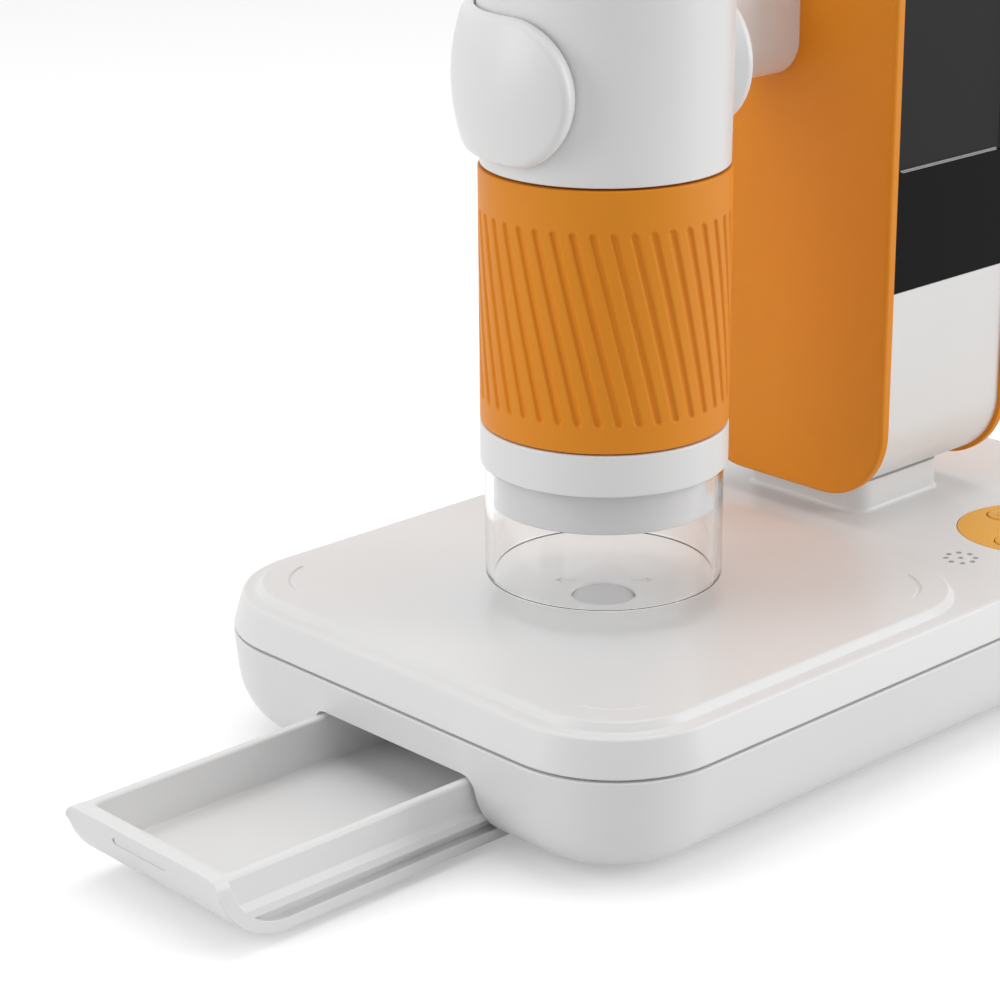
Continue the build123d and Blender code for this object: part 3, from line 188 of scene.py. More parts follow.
def outline(length, depth, corner, steps=10):
    """A rounded rectangle's points, anticlockwise, about its own middle."""
    points = []
    for side, end, start in ((1, 1, 0), (-1, 1, 90), (-1, -1, 180), (1, -1, 270)):
        centre_x, centre_y = side * (length / 2 - corner), end * (depth / 2 - corner)
        for k in range(steps + 1):
            angle = radians(start + 90 * k / steps)
            points.append((centre_x + corner * cos(angle), centre_y + corner * sin(angle)))
    return points


def skin(rings, closed=False):
    """Points and faces of a skin over rings of like count; a ring of one point is a tip."""
    points, faces, starts = [], [], []
    for ring in rings:
        starts.append(len(points))
        points += [tuple(p) for p in ring]
    pairs = list(zip(range(len(rings) - 1), range(1, len(rings))))
    if closed:
        pairs.append((len(rings) - 1, 0))
    for low, high in pairs:
        a, b, m, n = starts[low], starts[high], len(rings[low]), len(rings[high])
        count = max(m, n)
        for k in range(count):
            j = (k + 1) % count
            if m == 1:
                faces.append((a, b + j, b + k))
            elif n == 1:
                faces.append((a + k, a + j, b))
            else:
                faces.append((a + k, a + j, b + j, b + k))
    if not closed:
        if len(rings[0]) > 1:
            faces.append(tuple(reversed(range(len(rings[0])))))
        if len(rings[-1]) > 1:
            faces.append(tuple(range(starts[-1], starts[-1] + len(rings[-1]))))
    return points, faces


def body_of(name, points, faces):
    """A new object from points in millimetres, with its faces turned outwards."""
    mesh = bpy.data.meshes.new(name)
    mesh.from_pydata([tuple(c * mm for c in p) for p in points], [], faces)
    tidy_faces(mesh)
    obj = bpy.data.objects.new(name, mesh)
    bpy.context.scene.collection.objects.link(obj)
    return obj


def tidy_faces(mesh, merge=1e-7):
    """Merges doubles and turns the faces outwards."""
    work = bmesh.new()
    work.from_mesh(mesh)
    bmesh.ops.remove_doubles(work, verts=work.verts, dist=merge)
    bmesh.ops.recalc_face_normals(work, faces=work.faces)
    work.to_mesh(mesh)
    work.free()


def block(name, middle, size, corner, levels, steps=10, smallest=0.5):
    """A rounded block: a rounded rectangle drawn in by each level's inset at its height."""
    rings = []
    for inset, height in levels:
        length, depth = size[0] - 2 * inset, size[1] - 2 * inset
        ring = outline(length, depth, max(corner - inset, smallest), steps)
        rings.append([(middle[0] + x, middle[1] + y, height) for x, y in ring])
    return body_of(name, *skin(rings))


def prism(name, section, start, end, along="X"):
    """A section drawn along X or Y; the section is in (Y, Z) or (X, Z)."""
    if along == "X":
        rings = [[(x, a, b) for a, b in section] for x in (start, end)]
    else:
        rings = [[(a, y, b) for a, b in section] for y in (start, end)]
    return body_of(name, *skin(rings))


def combine(piece, tool, way="DIFFERENCE"):
    """Cuts, joins or trims a piece with a tool, which is used up."""
    cut = piece.modifiers.new("cut", "BOOLEAN")
    cut.operation = way
    cut.solver = "EXACT"
    cut.object = tool
    graph = bpy.context.evaluated_depsgraph_get()
    made = bpy.data.meshes.new_from_object(piece.evaluated_get(graph))
    piece.modifiers.clear()
    spent = piece.data
    piece.data = made
    made.name = piece.name
    sliver = 0.002 * mm
    work = bmesh.new()
    work.from_mesh(made)
    bmesh.ops.dissolve_degenerate(work, edges=work.edges, dist=sliver)
    bmesh.ops.remove_doubles(work, verts=work.verts, dist=sliver)
    work.to_mesh(made)
    work.free()
    bpy.data.meshes.remove(spent)
    bpy.data.objects.remove(tool)


def moulded(name, colour, roughness, grain, depth, mottle=0.02, fleck=0.35, gloss=0.5,
            metal=0.0, clear=0.0):
    """A made surface: a fine grain, its size and depth in mm, over a slow change of tone."""
    tone_scale, sheen_spread = 38, 0.03
    material = bpy.data.materials.new(name)
    material.use_nodes = True
    nodes, links = material.node_tree.nodes, material.node_tree.links
    plastic = nodes["Principled BSDF"]
    place = nodes.new("ShaderNodeTexCoord")
    cloud = nodes.new("ShaderNodeTexNoise")
    cloud.inputs["Scale"].default_value = tone_scale
    cloud.inputs["Detail"].default_value = 3
    tone = nodes.new("ShaderNodeMix")
    tone.data_type = "RGBA"
    tone.inputs["A"].default_value = (*[c * (1 - mottle) for c in colour], 1)
    tone.inputs["B"].default_value = (*[min(c * (1 + mottle), 1) for c in colour], 1)
    links.new(place.outputs["Object"], cloud.inputs["Vector"])
    links.new(cloud.outputs["Fac"], tone.inputs["Factor"])
    links.new(tone.outputs["Result"], plastic.inputs["Base Color"])
    sheen = nodes.new("ShaderNodeMapRange")
    sheen.inputs["From Min"].default_value = 0.3
    sheen.inputs["From Max"].default_value = 0.7
    sheen.inputs["To Min"].default_value = roughness - sheen_spread
    sheen.inputs["To Max"].default_value = roughness + sheen_spread
    links.new(cloud.outputs["Fac"], sheen.inputs["Value"])
    links.new(sheen.outputs["Result"], plastic.inputs["Roughness"])
    grains = nodes.new("ShaderNodeTexNoise")
    grains.inputs["Scale"].default_value = 1 / (grain * mm)
    grains.inputs["Detail"].default_value = 2
    grains.inputs["Roughness"].default_value = fleck
    links.new(place.outputs["Object"], grains.inputs["Vector"])
    bump = nodes.new("ShaderNodeBump")
    bump.inputs["Distance"].default_value = depth * mm
    bump.inputs["Strength"].default_value = 1.0
    links.new(grains.outputs["Fac"], bump.inputs["Height"])
    links.new(bump.outputs["Normal"], plastic.inputs["Normal"])
    plastic.inputs["Specular IOR Level"].default_value = gloss
    plastic.inputs["Metallic"].default_value = metal
    plastic.inputs["Transmission Weight"].default_value = clear
    return material


def dress(piece, name, body, slot, material, *stands_for, crease=38):
    """Finishes a piece: smooth shading with crisp edges, its material, body and nodes; the slot is
    not used.
    """
    piece.name = name
    piece.data.name = name
    piece.data.materials.clear()
    piece.data.materials.append(material)
    work = bmesh.new()
    work.from_mesh(piece.data)
    for face in work.faces:
        face.smooth = True
        face.material_index = 0
    for edge in work.edges:
        edge.smooth = len(edge.link_faces) == 2 and edge.calc_face_angle(0) < radians(crease)
    work.to_mesh(piece.data)
    work.free()
    even = piece.modifiers.new("even_shading", "WEIGHTED_NORMAL")
    even.keep_sharp = True
    even.weight = 50
    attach(piece, body)
    if stands_for:
        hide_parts(*stands_for)
    return piece


white_plastic = moulded("white_plastic", (0.80, 0.80, 0.80), 0.34, 0.30, 0.006)

lower_shell = block(
    "lower_shell", (0, 0), (base_length, base_depth), base_corner,
    soften([(far_in, base_bottom, 0), (lower_inset, base_bottom, base_roll),
            (0, lower_rim, rim_edge), (tongue_inset, lower_rim, 0), (tongue_inset, tongue_top, 0.2),
            (far_in, tongue_top, 0)], 14),
    steps=16,
)
cavity_floor, cavity_top = base_bottom + base_wall, 24
cavity = block(
    "cavity", (0, 0), (base_length, base_depth), base_corner,
    soften([(far_in, cavity_floor, 0),
            (base_wall + lower_inset, cavity_floor, base_roll - base_wall),
            (base_wall, lower_rim, 0), (base_wall, cavity_top, 0), (far_in, cavity_top, 0)], 8),
)
bay_block = prism(
    "bay_block",
    [(drawer_y + side * (bay_half + bay_wall), z) for side, z in
     ((-1, -1), (1, -1), (1, bay_roof + bay_wall), (-1, bay_roof + bay_wall))],
    past_left_end, bay_end + bay_wall,
)
combine(cavity, bay_block)
combine(lower_shell, cavity)
bay_line = soften(
    [(-bay_half, -1, 0), (bay_half, -1, 0), (bay_half, rail_bottom, 0),
     (rail_inner, rail_bottom, 0), (rail_inner, rail_top, 0), (bay_half, rail_top, 0),
     (bay_half, bay_roof, bay_soft),
     (-bay_half, bay_roof, bay_soft), (-bay_half, rail_top, 0), (-rail_inner, rail_top, 0),
     (-rail_inner, rail_bottom, 0), (-bay_half, rail_bottom, 0)], 6, closed=True,
)
combine(lower_shell, prism("bay", [(drawer_y + y, z) for y, z in bay_line], past_left_end, bay_end))
# The rails start behind the curve of the drawer's front band
rail_low, rail_high = rail_bottom - rail_clearance, rail_top + rail_clearance
rail_cut = [(drawer_y + side * (bay_half - 0.01), z) for side, z in
            ((-1, rail_low), (1, rail_low), (1, rail_high), (-1, rail_high))]
combine(lower_shell, prism("rail_front", rail_cut, past_left_end, rail_start))


def turned(name, middle, profile, segments=96):
    """A turned body: a profile of (radius, height) spun about an upright axis."""
    rings = []
    for radius, height in profile:
        if radius < 1e-6:
            rings.append([(middle[0], middle[1], height)])
            continue
        rings.append([
            (middle[0] + radius * cos(2 * pi * k / segments),
             middle[1] + radius * sin(2 * pi * k / segments), height)
            for k in range(segments)
        ])
    ends_on_axis = profile[0][0] < 1e-6 and profile[-1][0] < 1e-6
    return body_of(name, *skin(rings, closed=not ends_on_axis))


sink_line = [(0, 0), (sink_radius, 0), (sink_radius, sink_top), (0, sink_top)]
for place in screw_places:
    combine(lower_shell, turned("sink", place, sink_line, 32))
inlet_line = outline(inlet_width, inlet_height, inlet_corner, 6)
inlet_mouth = [(inlet_x + x, inlet_z + z) for x, z in inlet_line]
wall_back = base_depth / 2
combine(lower_shell, prism("inlet_mouth", inlet_mouth, wall_back - 6, wall_back + 3, "Y"))
edge_roll = lower_shell.modifiers.new("edge_roll", "BEVEL")
edge_roll.width = 0.25 * mm
edge_roll.segments = 2
edge_roll.limit_method = "ANGLE"
edge_roll.angle_limit = radians(45)
dress(lower_shell, "base_tray", "base", "white_shell", white_plastic, "base_lower_shell")

# Base upper shell
# The white lid of the base, moulded in one with the low stage pad and the tower's pedestal, and
# dropped over the tray's tongue. The mould leaves four arc marks in the pad's corners, two small
# arrows beside the window and the speaker's holes.
taper = (base_top - upper_rim) * tan(radians(16.2))
pad_top, pad_middle, pad_roll = 27.4, (-31.35, 0.0), 0.6
pad_length, pad_depth, pad_corner, pad_slope = 87.1, 91.0, 14.6, 1.0
axis = (-34.5, -3.15)
tower_x, tower_y, tower_bottom = 38.1, 6.85, 31.8
pedestal_size, pedestal_corner, pedestal_foot, pedestal_fillet = (23.8, 27.1), 4.0, 1.1, 0.9
tongue_room = 1.3
disc_place, disc_radius, disc_bottom, disc_gap = (42.6, -31.8), 12.5, 24.5, 0.12
window_radius, window_floor, window_top, light_radius = 5.3, 25.6, 26.9, 4.3
mark_radius, mark_half_turn, mark_width, mark_depth = 9.8, 31, 0.9, 0.3
speaker_place, speaker_ring, speaker_hole, hole_count = (22.5, -32.4), 2.53, 0.53, 8
arrow_depth = 0.16

upper_shell = block(
    "upper_shell", (0, 0), (base_length, base_depth), base_corner,
    soften([(far_in, upper_rim, 0), (0, upper_rim, rim_edge), (taper, base_top, 0.8),
            (far_in, base_top, 0)], 8),
    steps=16,
)
pad = block(
    "pad", pad_middle, (pad_length + 2 * pad_slope, pad_depth + 2 * pad_slope),
    pad_corner + pad_slope,
    soften([(20, base_top - 1, 0), (0, base_top - 1, 0), (0, base_top, 0),
            (pad_slope, pad_top, pad_roll), (20, pad_top, 0)], 6),
    steps=16,
)
combine(upper_shell, pad, "UNION")
pedestal = block(
    "pedestal", (tower_x, tower_y), pedestal_size, pedestal_corner,
    soften([(8, base_top - 1, 0), (-pedestal_foot, base_top - 1, 0),
            (-pedestal_foot, base_top - 0.03, 0), (0, base_top - 0.03, pedestal_fillet),
            (0, tower_bottom, 0), (8, tower_bottom, 0)], 6),
)
combine(upper_shell, pedestal, "UNION")
lid_under = base_top - base_wall
combine(upper_shell, block(
    "lid_inside", (0, 0), (base_length, base_depth), base_corner,
    [(far_in, 19), (tongue_room, 19), (tongue_room, tongue_top), (base_wall, tongue_top),
     (base_wall + 0.6, lid_under), (far_in, lid_under)],
))


def mouth(radius, bottom, top, soft):
    """Profile of a round cutter whose mouth opens in a small quarter round."""
    line = soften([(0, bottom, 0), (radius, bottom, 0), (radius, top + 0.003, soft),
                   (radius + 2 * soft, top + 0.003, 0)], 4)[:-1]
    return line + [(radius + soft, top + 2), (0, top + 2)]


def arc_line(place, radius, first, last, steps=14):
    """Points of an arc about a place, from one angle to another in degrees."""
    return [
        (place[0] + radius * cos(radians(first + (last - first) * k / steps)),
         place[1] + radius * sin(radians(first + (last - first) * k / steps)))
        for k in range(steps + 1)
    ]


disc_mouth = mouth(disc_radius + disc_gap, disc_bottom, base_top, 0.15)
combine(upper_shell, turned("disc_seat", disc_place, disc_mouth))
combine(upper_shell, turned("window_seat", axis, mouth(window_radius, window_floor, pad_top, 0.25)))
light_line = [(0, 20), (light_radius, 20), (light_radius, 26), (0, 26)]
combine(upper_shell, turned("window_hole", axis, light_line, 48))


def capsule(name, line, width, depth, top, sides=12, rounds=4):
    """A round-ended rod laid along a line, sunk so that it cuts a groove of a width and depth."""
    radius = (width * width / 4 + depth * depth) / (2 * depth)
    height = top + radius - depth
    points = [Vector((x, y, height)) for x, y in line]
    rings = []
    for i, point in enumerate(points):
        ahead = (points[min(i + 1, len(points) - 1)] - points[max(i - 1, 0)]).normalized()
        across = Vector((-ahead.y, ahead.x, 0))
        turns = [2 * pi * k / sides for k in range(sides)]
        ring = [point + (across * cos(t) + Vector((0, 0, sin(t)))) * radius for t in turns]
        tips = []
        for r in range(1, rounds + 1):
            tilt = pi / 2 * r / (rounds + 0.3)
            way = -1 if i == 0 else 1
            shift = ahead * way * radius * sin(tilt)
            tips.append([point + (p - point) * cos(tilt) + shift for p in ring])
        if i == 0:
            rings += reversed(tips)
        rings.append(ring)
        if i == len(points) - 1:
            rings += tips
    return body_of(name, *skin(rings))


for side, end, middle in ((1, 1, 45), (-1, 1, 135), (-1, -1, 225), (1, -1, 315)):
    corner_place = (pad_middle[0] + side * (pad_length / 2 - pad_corner),
                    end * (pad_depth / 2 - pad_corner))
    arc = arc_line(corner_place, mark_radius, middle - mark_half_turn, middle + mark_half_turn, 16)
    combine(upper_shell, capsule("pad_mark", arc, mark_width, mark_depth, pad_top, sides=24))


def node_tree(name, sizes):
    """A Geometry Nodes tree with named inputs for its sizes."""
    tree = bpy.data.node_groups.new(name, "GeometryNodeTree")
    tree.interface.new_socket("Geometry", in_out="INPUT", socket_type="NodeSocketGeometry")
    for size_name, kind in sizes:
        tree.interface.new_socket(size_name, in_out="INPUT", socket_type=kind)
    tree.interface.new_socket("Geometry", in_out="OUTPUT", socket_type="NodeSocketGeometry")
    return tree, tree.nodes.new("NodeGroupInput"), tree.nodes.new("NodeGroupOutput")


def grown(name, tree, values):
    """The plain mesh that a tree makes, as a new object."""
    holder = bpy.data.objects.new(name, bpy.data.meshes.new(name))
    bpy.context.scene.collection.objects.link(holder)
    maker = holder.modifiers.new("maker", "NODES")
    maker.node_group = tree
    for item in tree.interface.items_tree:
        if item.in_out == "INPUT" and item.name in values:
            maker[item.identifier] = values[item.name]
    graph = bpy.context.evaluated_depsgraph_get()
    made = bpy.data.meshes.new_from_object(holder.evaluated_get(graph))
    holder.modifiers.clear()
    holder.data = made
    return holder


def made_real(tree, entry, leave, copies, weld=None):
    """Ends a tree: its copies made real, welded where they meet if asked, and painted."""
    real = tree.nodes.new("GeometryNodeRealizeInstances")
    paint = tree.nodes.new("GeometryNodeSetMaterial")
    tree.links.new(copies, real.inputs["Geometry"])
    result = real.outputs["Geometry"]
    if weld:
        merge = tree.nodes.new("GeometryNodeMergeByDistance")
        merge.inputs["Distance"].default_value = weld
        tree.links.new(result, merge.inputs["Geometry"])
        result = merge.outputs["Geometry"]
    tree.links.new(result, paint.inputs["Geometry"])
    tree.links.new(entry.outputs["Material"], paint.inputs["Material"])
    tree.links.new(paint.outputs["Geometry"], leave.inputs["Geometry"])


def set_out(tree_name, part, places, material):
    """Copies of a small part at each of the places, as one object; the part is used up."""
    tree, entry, leave = node_tree(tree_name, [
        ("Places", "NodeSocketObject"), ("Part", "NodeSocketObject"),
        ("Material", "NodeSocketMaterial")])
    marks = bpy.data.meshes.new(tree_name + "_places")
    marks.from_pydata([(x * mm, y * mm, 0) for x, y in places], [], [])
    marked = bpy.data.objects.new(tree_name + "_places", marks)
    bpy.context.scene.collection.objects.link(marked)
    where = tree.nodes.new("GeometryNodeObjectInfo")
    what = tree.nodes.new("GeometryNodeObjectInfo")
    spread = tree.nodes.new("GeometryNodeInstanceOnPoints")
    tree.links.new(entry.outputs["Places"], where.inputs["Object"])
    tree.links.new(entry.outputs["Part"], what.inputs["Object"])
    tree.links.new(where.outputs["Geometry"], spread.inputs["Points"])
    tree.links.new(what.outputs["Geometry"], spread.inputs["Instance"])
    made_real(tree, entry, leave, spread.outputs["Instances"])
    made = grown(tree_name, tree, {"Places": marked, "Part": part, "Material": material})
    bpy.data.objects.remove(marked)
    bpy.data.objects.remove(part)
    return made


hole_places = [speaker_place] + arc_line(speaker_place, speaker_ring, 0, 360, hole_count)[:-1]
hole = turned("hole", (0, 0), mouth(speaker_hole, 22.5, base_top, 0.08), 20)
combine(upper_shell, set_out("speaker_holes", hole, hole_places, white_plastic))

# Two small arrows pressed in beside the window, each one outline with its tip first
arrow_line = [(1.85, 0), (0.75, 1.1), (0.51, 0.86), (1.20, 0.17), (-1.85, 0.17),
              (-1.85, -0.17), (1.20, -0.17), (0.51, -0.86), (0.75, -1.1)]
for middle, way in (((-34.95, 5.3), (-1, 1)), ((-25.8, -3.7), (1, -1))):
    along, across = Vector(way).normalized(), Vector((-way[1], way[0])).normalized()
    arrow = [Vector(middle) + along * u + across * v for u, v in arrow_line]
    combine(upper_shell, body_of("arrow", *skin([
        [(p.x, p.y, z) for p in arrow] for z in (pad_top - arrow_depth, pad_top + 1)])))
dress(upper_shell, "base_lid", "base", "white_shell", white_plastic, "base_upper_shell")

# Feet
# Four soft grey rubber discs with a rolled lower edge, glued into the tray's underside near its
# corners, so that the base stands a little clear of the table.
foot_radius, foot_height, foot_roll, foot_x, foot_y = 5.0, base_bottom, 0.4, 61.7, 32.3
foot_rubber = moulded("foot_rubber", (0.55, 0.55, 0.55), 0.7, 0.25, 0.01)
foot = turned("foot", (0, 0), soften([
    (0, 0, 0), (foot_radius, 0, foot_roll), (foot_radius, foot_height, 0),
    (0, foot_height, 0)], 4), 48)
foot_places = [(x, y) for x in (-foot_x, foot_x) for y in (-foot_y, foot_y)]
feet = set_out("feet", foot, foot_places, foot_rubber)
dress(feet, "feet_pads", "base", "foot_rubber", foot_rubber, "base_feet")

# Base screws
# Four pan-head steel screws with a hexagon socket, sunk in the tray's underside, which pull the
# lid down on the tray's tongue.
pan_radius, pan_low, pan_high, pan_roll = 2.8, 3.2, 5.0, 0.6
shank_radius, shank_top, socket_radius, socket_top = 1.5, 19.0, 1.2, 4.4
screw_steel = moulded("screw_steel", (0.50, 0.50, 0.51), 0.32, 0.5, 0.002, metal=1.0)
screw = turned("screw", (0, 0), soften([
    (0, pan_low, 0), (pan_radius, pan_low, pan_roll), (pan_radius, pan_high, 0),
    (shank_radius, pan_high, 0), (shank_radius, shank_top, 0), (0, shank_top, 0)], 4), 36)
combine(screw, turned("socket", (0, 0), [
    (0, 2), (socket_radius, 2), (socket_radius, socket_top), (0, socket_top)], 6))
screws = set_out("base_screws_set", screw, screw_places, screw_steel)
dress(screws, "base_screw_set", "base", "screw_steel", screw_steel, "base_screws")

# Stage window
# A frosted plastic disc let into the pad over the stage light, a little below the pad's face,
# which spreads the light under a specimen.
disc_of_window = window_radius - 0.1
window_frost = moulded("window_frost", (0.66, 0.66, 0.68), 0.5, 0.2, 0.004)
stage_disc = turned("stage_disc", axis, soften([
    (0, window_floor, 0), (disc_of_window, window_floor, 0), (disc_of_window, window_top, 0.2),
    (0, window_top, 0)], 4), 72)
dress(stage_disc, "stage_disc", "base", "window_plastic", window_frost, "stage_window")

# Control disc and keys
# An orange moulded disc, flush with the lid, with three round keys that stand up through it on
# their switches. Each key carries a plain line sign in dark ink: a turn, a lamp and a camera.
key_ring, key_turn, key_count = 7.7, 73, 3
key_radius, key_gap, key_top, key_roll = 2.75, 0.2, base_top + 0.1, 0.12
stem_radius, stem_bottom, flange_radius, flange_bottom, flange_top = 1.2, 19.9, 3.35, 23.4, 24.3
ink_width, ink_depth, ink_sunk = 0.16, 0.08, 0.06
disc_orange = moulded("disc_orange", (0.86, 0.42, 0.045), 0.42, 0.35, 0.006, gloss=0.3)
ink = moulded("ink", (0.10, 0.045, 0.02), 0.5, 0.3, 0.001)
key_places = arc_line(disc_place, key_ring, key_turn, key_turn + 360, key_count)[:-1]
disc = turned("disc", disc_place, soften([
    (0, disc_bottom, 0), (disc_radius, disc_bottom, 0), (disc_radius, base_top, 0.15),
    (0, base_top, 0)], 4), 128)
for place in key_places:
    combine(disc, turned("key_hole", place, mouth(key_radius + key_gap, 24, base_top, 0.08), 64))
dress(disc, "control_disc_face", "base", "orange", disc_orange, "control_disc")


def spoke(place, inner, outer, angle):
    """A short line that points away from a place."""
    return [(place[0] + r * cos(radians(angle)), place[1] + r * sin(radians(angle)))
            for r in (inner, outer)]


def key_signs(place):
    """The lines of the three keys' signs, each about the middle of its key."""
    x, y = place
    turn_sign = [arc_line(place, 1.1, 120, 420), [(x + 0.15, y + 1.25), (x + 0.75, y + 0.75)]]
    lamp_sign = [arc_line(place, 0.55, 0, 360)]
    lamp_sign += [spoke(place, 0.95, 1.45, angle) for angle in range(0, 360, 60)]
    frame_corners = ((-1.3, -0.8), (1.3, -0.8), (1.3, 0.8), (-1.3, 0.8), (-1.3, -0.8))
    camera_sign = [[(x + a, y + b) for a, b in frame_corners], arc_line(place, 0.5, 0, 360)]
    return turn_sign, lamp_sign, camera_sign


for number, place in enumerate(key_places, start=1):
    key = turned("key", place, soften([
        (0, stem_bottom, 0), (stem_radius, stem_bottom, 0), (stem_radius, flange_bottom, 0),
        (flange_radius, flange_bottom, 0), (flange_radius, flange_top, 0),
        (key_radius, flange_top, 0), (key_radius, key_top, key_roll), (0, key_top, 0)], 3), 64)
    dress(key, f"key_cap_{number}", f"key_{number}", "orange", disc_orange, f"key_{number}")
    for part, line in enumerate(key_signs(place)[number - 1], start=1):
        sign = capsule("sign", line, ink_width, ink_depth, key_top, sides=8, rounds=2)
        sign.data.transform(Matrix.Translation((0, 0, -ink_sunk * mm)))
        dress(sign, f"key_{number}_sign_{part}", f"key_{number}", "dark_plastic", ink)

# Drawer
# A shallow white moulded tray on a bottom plate that turns up at the front as a J-shaped band.
# It hangs in the bay by the grooves between tray and plate, and has a finger slot on its front.
drawer_open, drawer_length, drawer_half = 49.2, 86.0, 18.4
drawer_front = -base_length / 2 - drawer_open
drawer_back = drawer_front + drawer_length
drawer_top, drawer_bottom, plate_top, plate_front = 13.6, 1.65, 3.6, 2.6
band_roll, plate_roll, side_soft, top_corner = 12.8, 10.2, 0.15, 2.2
tray_half, tray_top, tray_wall, tray_floor = 17.8, 13.15, 1.8, 5.35
neck_half, ledge_low, ledge_high, ledge_top = 16.7, 5.6, 7.1, 8.3
finger_half_length, finger_half_height, finger_below_top, finger_depth = 6.4, 0.6, 2.4, 0.5


def face_x(z):
    """Where the drawer's front face stands at a height, above its bottom radius."""
    return drawer_front + (lower_rim + 0.45 - z) * side_lean


band_line = soften(
    [(face_x(drawer_top), drawer_top, 0.2), (face_x(drawer_bottom), drawer_bottom, band_roll),
     (drawer_back, drawer_bottom, 0.3), (drawer_back, plate_top, 0.3),
     (face_x(plate_top) + plate_front, plate_top, plate_roll),
     (face_x(drawer_top) + plate_front, drawer_top, 0.5)], 14, closed=True,
)


def drawn_in(line, amount):
    """A closed line moved inwards by an amount."""
    count = len(line)
    moved = []
    for i in range(count):
        before, after = Vector(line[i - 1]), Vector(line[(i + 1) % count])
        way = (after - before).normalized()
        moved.append((line[i][0] - way.y * amount, line[i][1] + way.x * amount))
    return moved


def round_off(radius, reach):
    """How far a rounded edge falls back at a reach from it, less than its radius away."""
    if reach >= radius:
        return 0.0
    return radius - sqrt(max(radius ** 2 - (radius - reach) ** 2, 0))


band_rings = []
fade_start, fade_height = drawer_top - top_corner - 0.6, top_corner + 0.6
stops = [drawer_half - side_soft * (1 - cos(radians(a))) for a in (0, 22.5, 45, 67.5, 90)]
stops += [drawer_half - side_soft - (top_corner - side_soft) * k / 6 for k in range(1, 7)]
for side in (-1, 1):
    group = []
    for stop in stops:
        lowered = round_off(top_corner, drawer_half - stop)
        ring = []
        for x, z in drawn_in(band_line, round_off(side_soft, drawer_half - stop)):
            share = max(0.0, (z - fade_start) / fade_height)
            ring.append((x, drawer_y + side * stop, z - lowered * share))
        group.append(ring)
    band_rings += group if side < 0 else list(reversed(group))
band = body_of("band", *skin(band_rings))

half_section = [
    (neck_half, plate_top - 0.2, 0), (neck_half, ledge_low, 0.15), (drawer_half, ledge_low, 0.3),
    (drawer_half, ledge_high, 0.3), (tray_half, ledge_top, 0.3), (tray_half, tray_top, 0.6),
]
tray_section = soften(
    [(-y, z, r) for y, z, r in half_section[:1]] + half_section
    + [(-y, z, r) for y, z, r in reversed(half_section[1:])], 5, closed=True)
tray = prism("tray", [(drawer_y + y, z) for y, z in tray_section], drawer_front, drawer_back)
inside_front = face_x(drawer_top) + plate_front + 1.0
inside_back = drawer_back - tray_wall
pocket_levels = soften([
    (8, tray_floor, 0), (0, tray_floor, 0.5), (0, tray_top, 0.5), (-1.1, tray_top, 0)], 5)[:-1]
pocket_levels += [(-0.5, tray_top + 3), (8, tray_top + 3)]
pocket = block(
    "pocket", ((inside_front + inside_back) / 2, drawer_y),
    (inside_back - inside_front, 2 * (tray_half - tray_wall)), 1.0, pocket_levels, smallest=0.3)
combine(tray, pocket)
# The tray is trimmed to a line just inside the band's face
trim_in, above = 0.6, 15
front_line = soften(
    [(face_x(above), above, 0), (face_x(drawer_bottom) + trim_in, drawer_bottom + trim_in, 12.2),
     (drawer_back + 1, drawer_bottom + trim_in, 0), (drawer_back + 1, above, 0)], 14, closed=True,
)
trim_line = [(x + trim_in, z) for x, z in front_line]
combine(tray, prism("trim", trim_line, drawer_y - 19, drawer_y + 19, "Y"), "INTERSECT")
combine(band, tray, "UNION")
finger_z = drawer_top - finger_below_top
finger_line = soften([
    (y * finger_half_length, z * finger_half_height, finger_half_height)
    for y, z in ((-1, -1), (1, -1), (1, 1), (-1, 1))], 8, closed=True)
finger = prism("finger", finger_line, face_x(finger_z) - 1, face_x(finger_z) + finger_depth)
finger.data.transform(Matrix.Translation(Vector((0, drawer_y + 0.7, finger_z)) * mm))
combine(band, finger)
dress(band, "drawer_tray", "drawer", "white_shell", white_plastic, "drawer")

# Tower frame
# A rounded white moulded frame, open at its sides, screwed down on the pedestal. Its front is
# recessed for the glass, and the two side panels close it.
tower_width, tower_depth, tower_height, tower_corner, tower_wall = 31.4, 44.0, 120.6, 12.6, 2.4
tower_front = tower_y - tower_depth / 2
tower_left, tower_right = tower_x - tower_width / 2, tower_x + tower_width / 2
tower_middle_z = tower_bottom + tower_height / 2
glass_bottom, glass_top, glass_thickness, glass_gap = 69.05, 141.0, 1.2, 0.1
glass_back = tower_front + glass_thickness


def tower_line(grow):
    """The tower's side view, (Y, Z), grown or drawn in all round."""
    ring = outline(tower_depth + 2 * grow, tower_height + 2 * grow, tower_corner + grow, 16)
    return [(tower_y + y, tower_middle_z + z) for y, z in ring]


tower_frame = prism("tower_frame", tower_line(0), tower_left, tower_right)
tower_inside = prism("tower_inside", tower_line(-tower_wall), tower_left - 1, tower_right + 1)
combine(tower_frame, tower_inside)
seat_low, seat_high = glass_bottom - glass_gap, glass_top + glass_gap
seat_line = [(tower_front - 1, seat_low), (glass_back, seat_low), (glass_back, seat_high),
             (tower_front - 1, seat_high)]
combine(tower_frame, prism("glass_seat", seat_line, tower_left - 1, tower_right + 1))
dress(tower_frame, "tower_frame", "base", "white_shell", white_plastic, "tower_body")

# Side panels
# Two orange moulded slabs that close the tower's sides, with a rolled edge that stands proud of
# the frame all round and a fine leather grain.
panel_thickness, panel_proud, panel_roll, panel_break = 2.0, 0.8, 0.7, 0.15
orange_skin = moulded("orange_skin", (0.78, 0.265, 0.008), 0.46, 0.42, 0.035,
                      mottle=0.03, fleck=0.6, gloss=0.3)


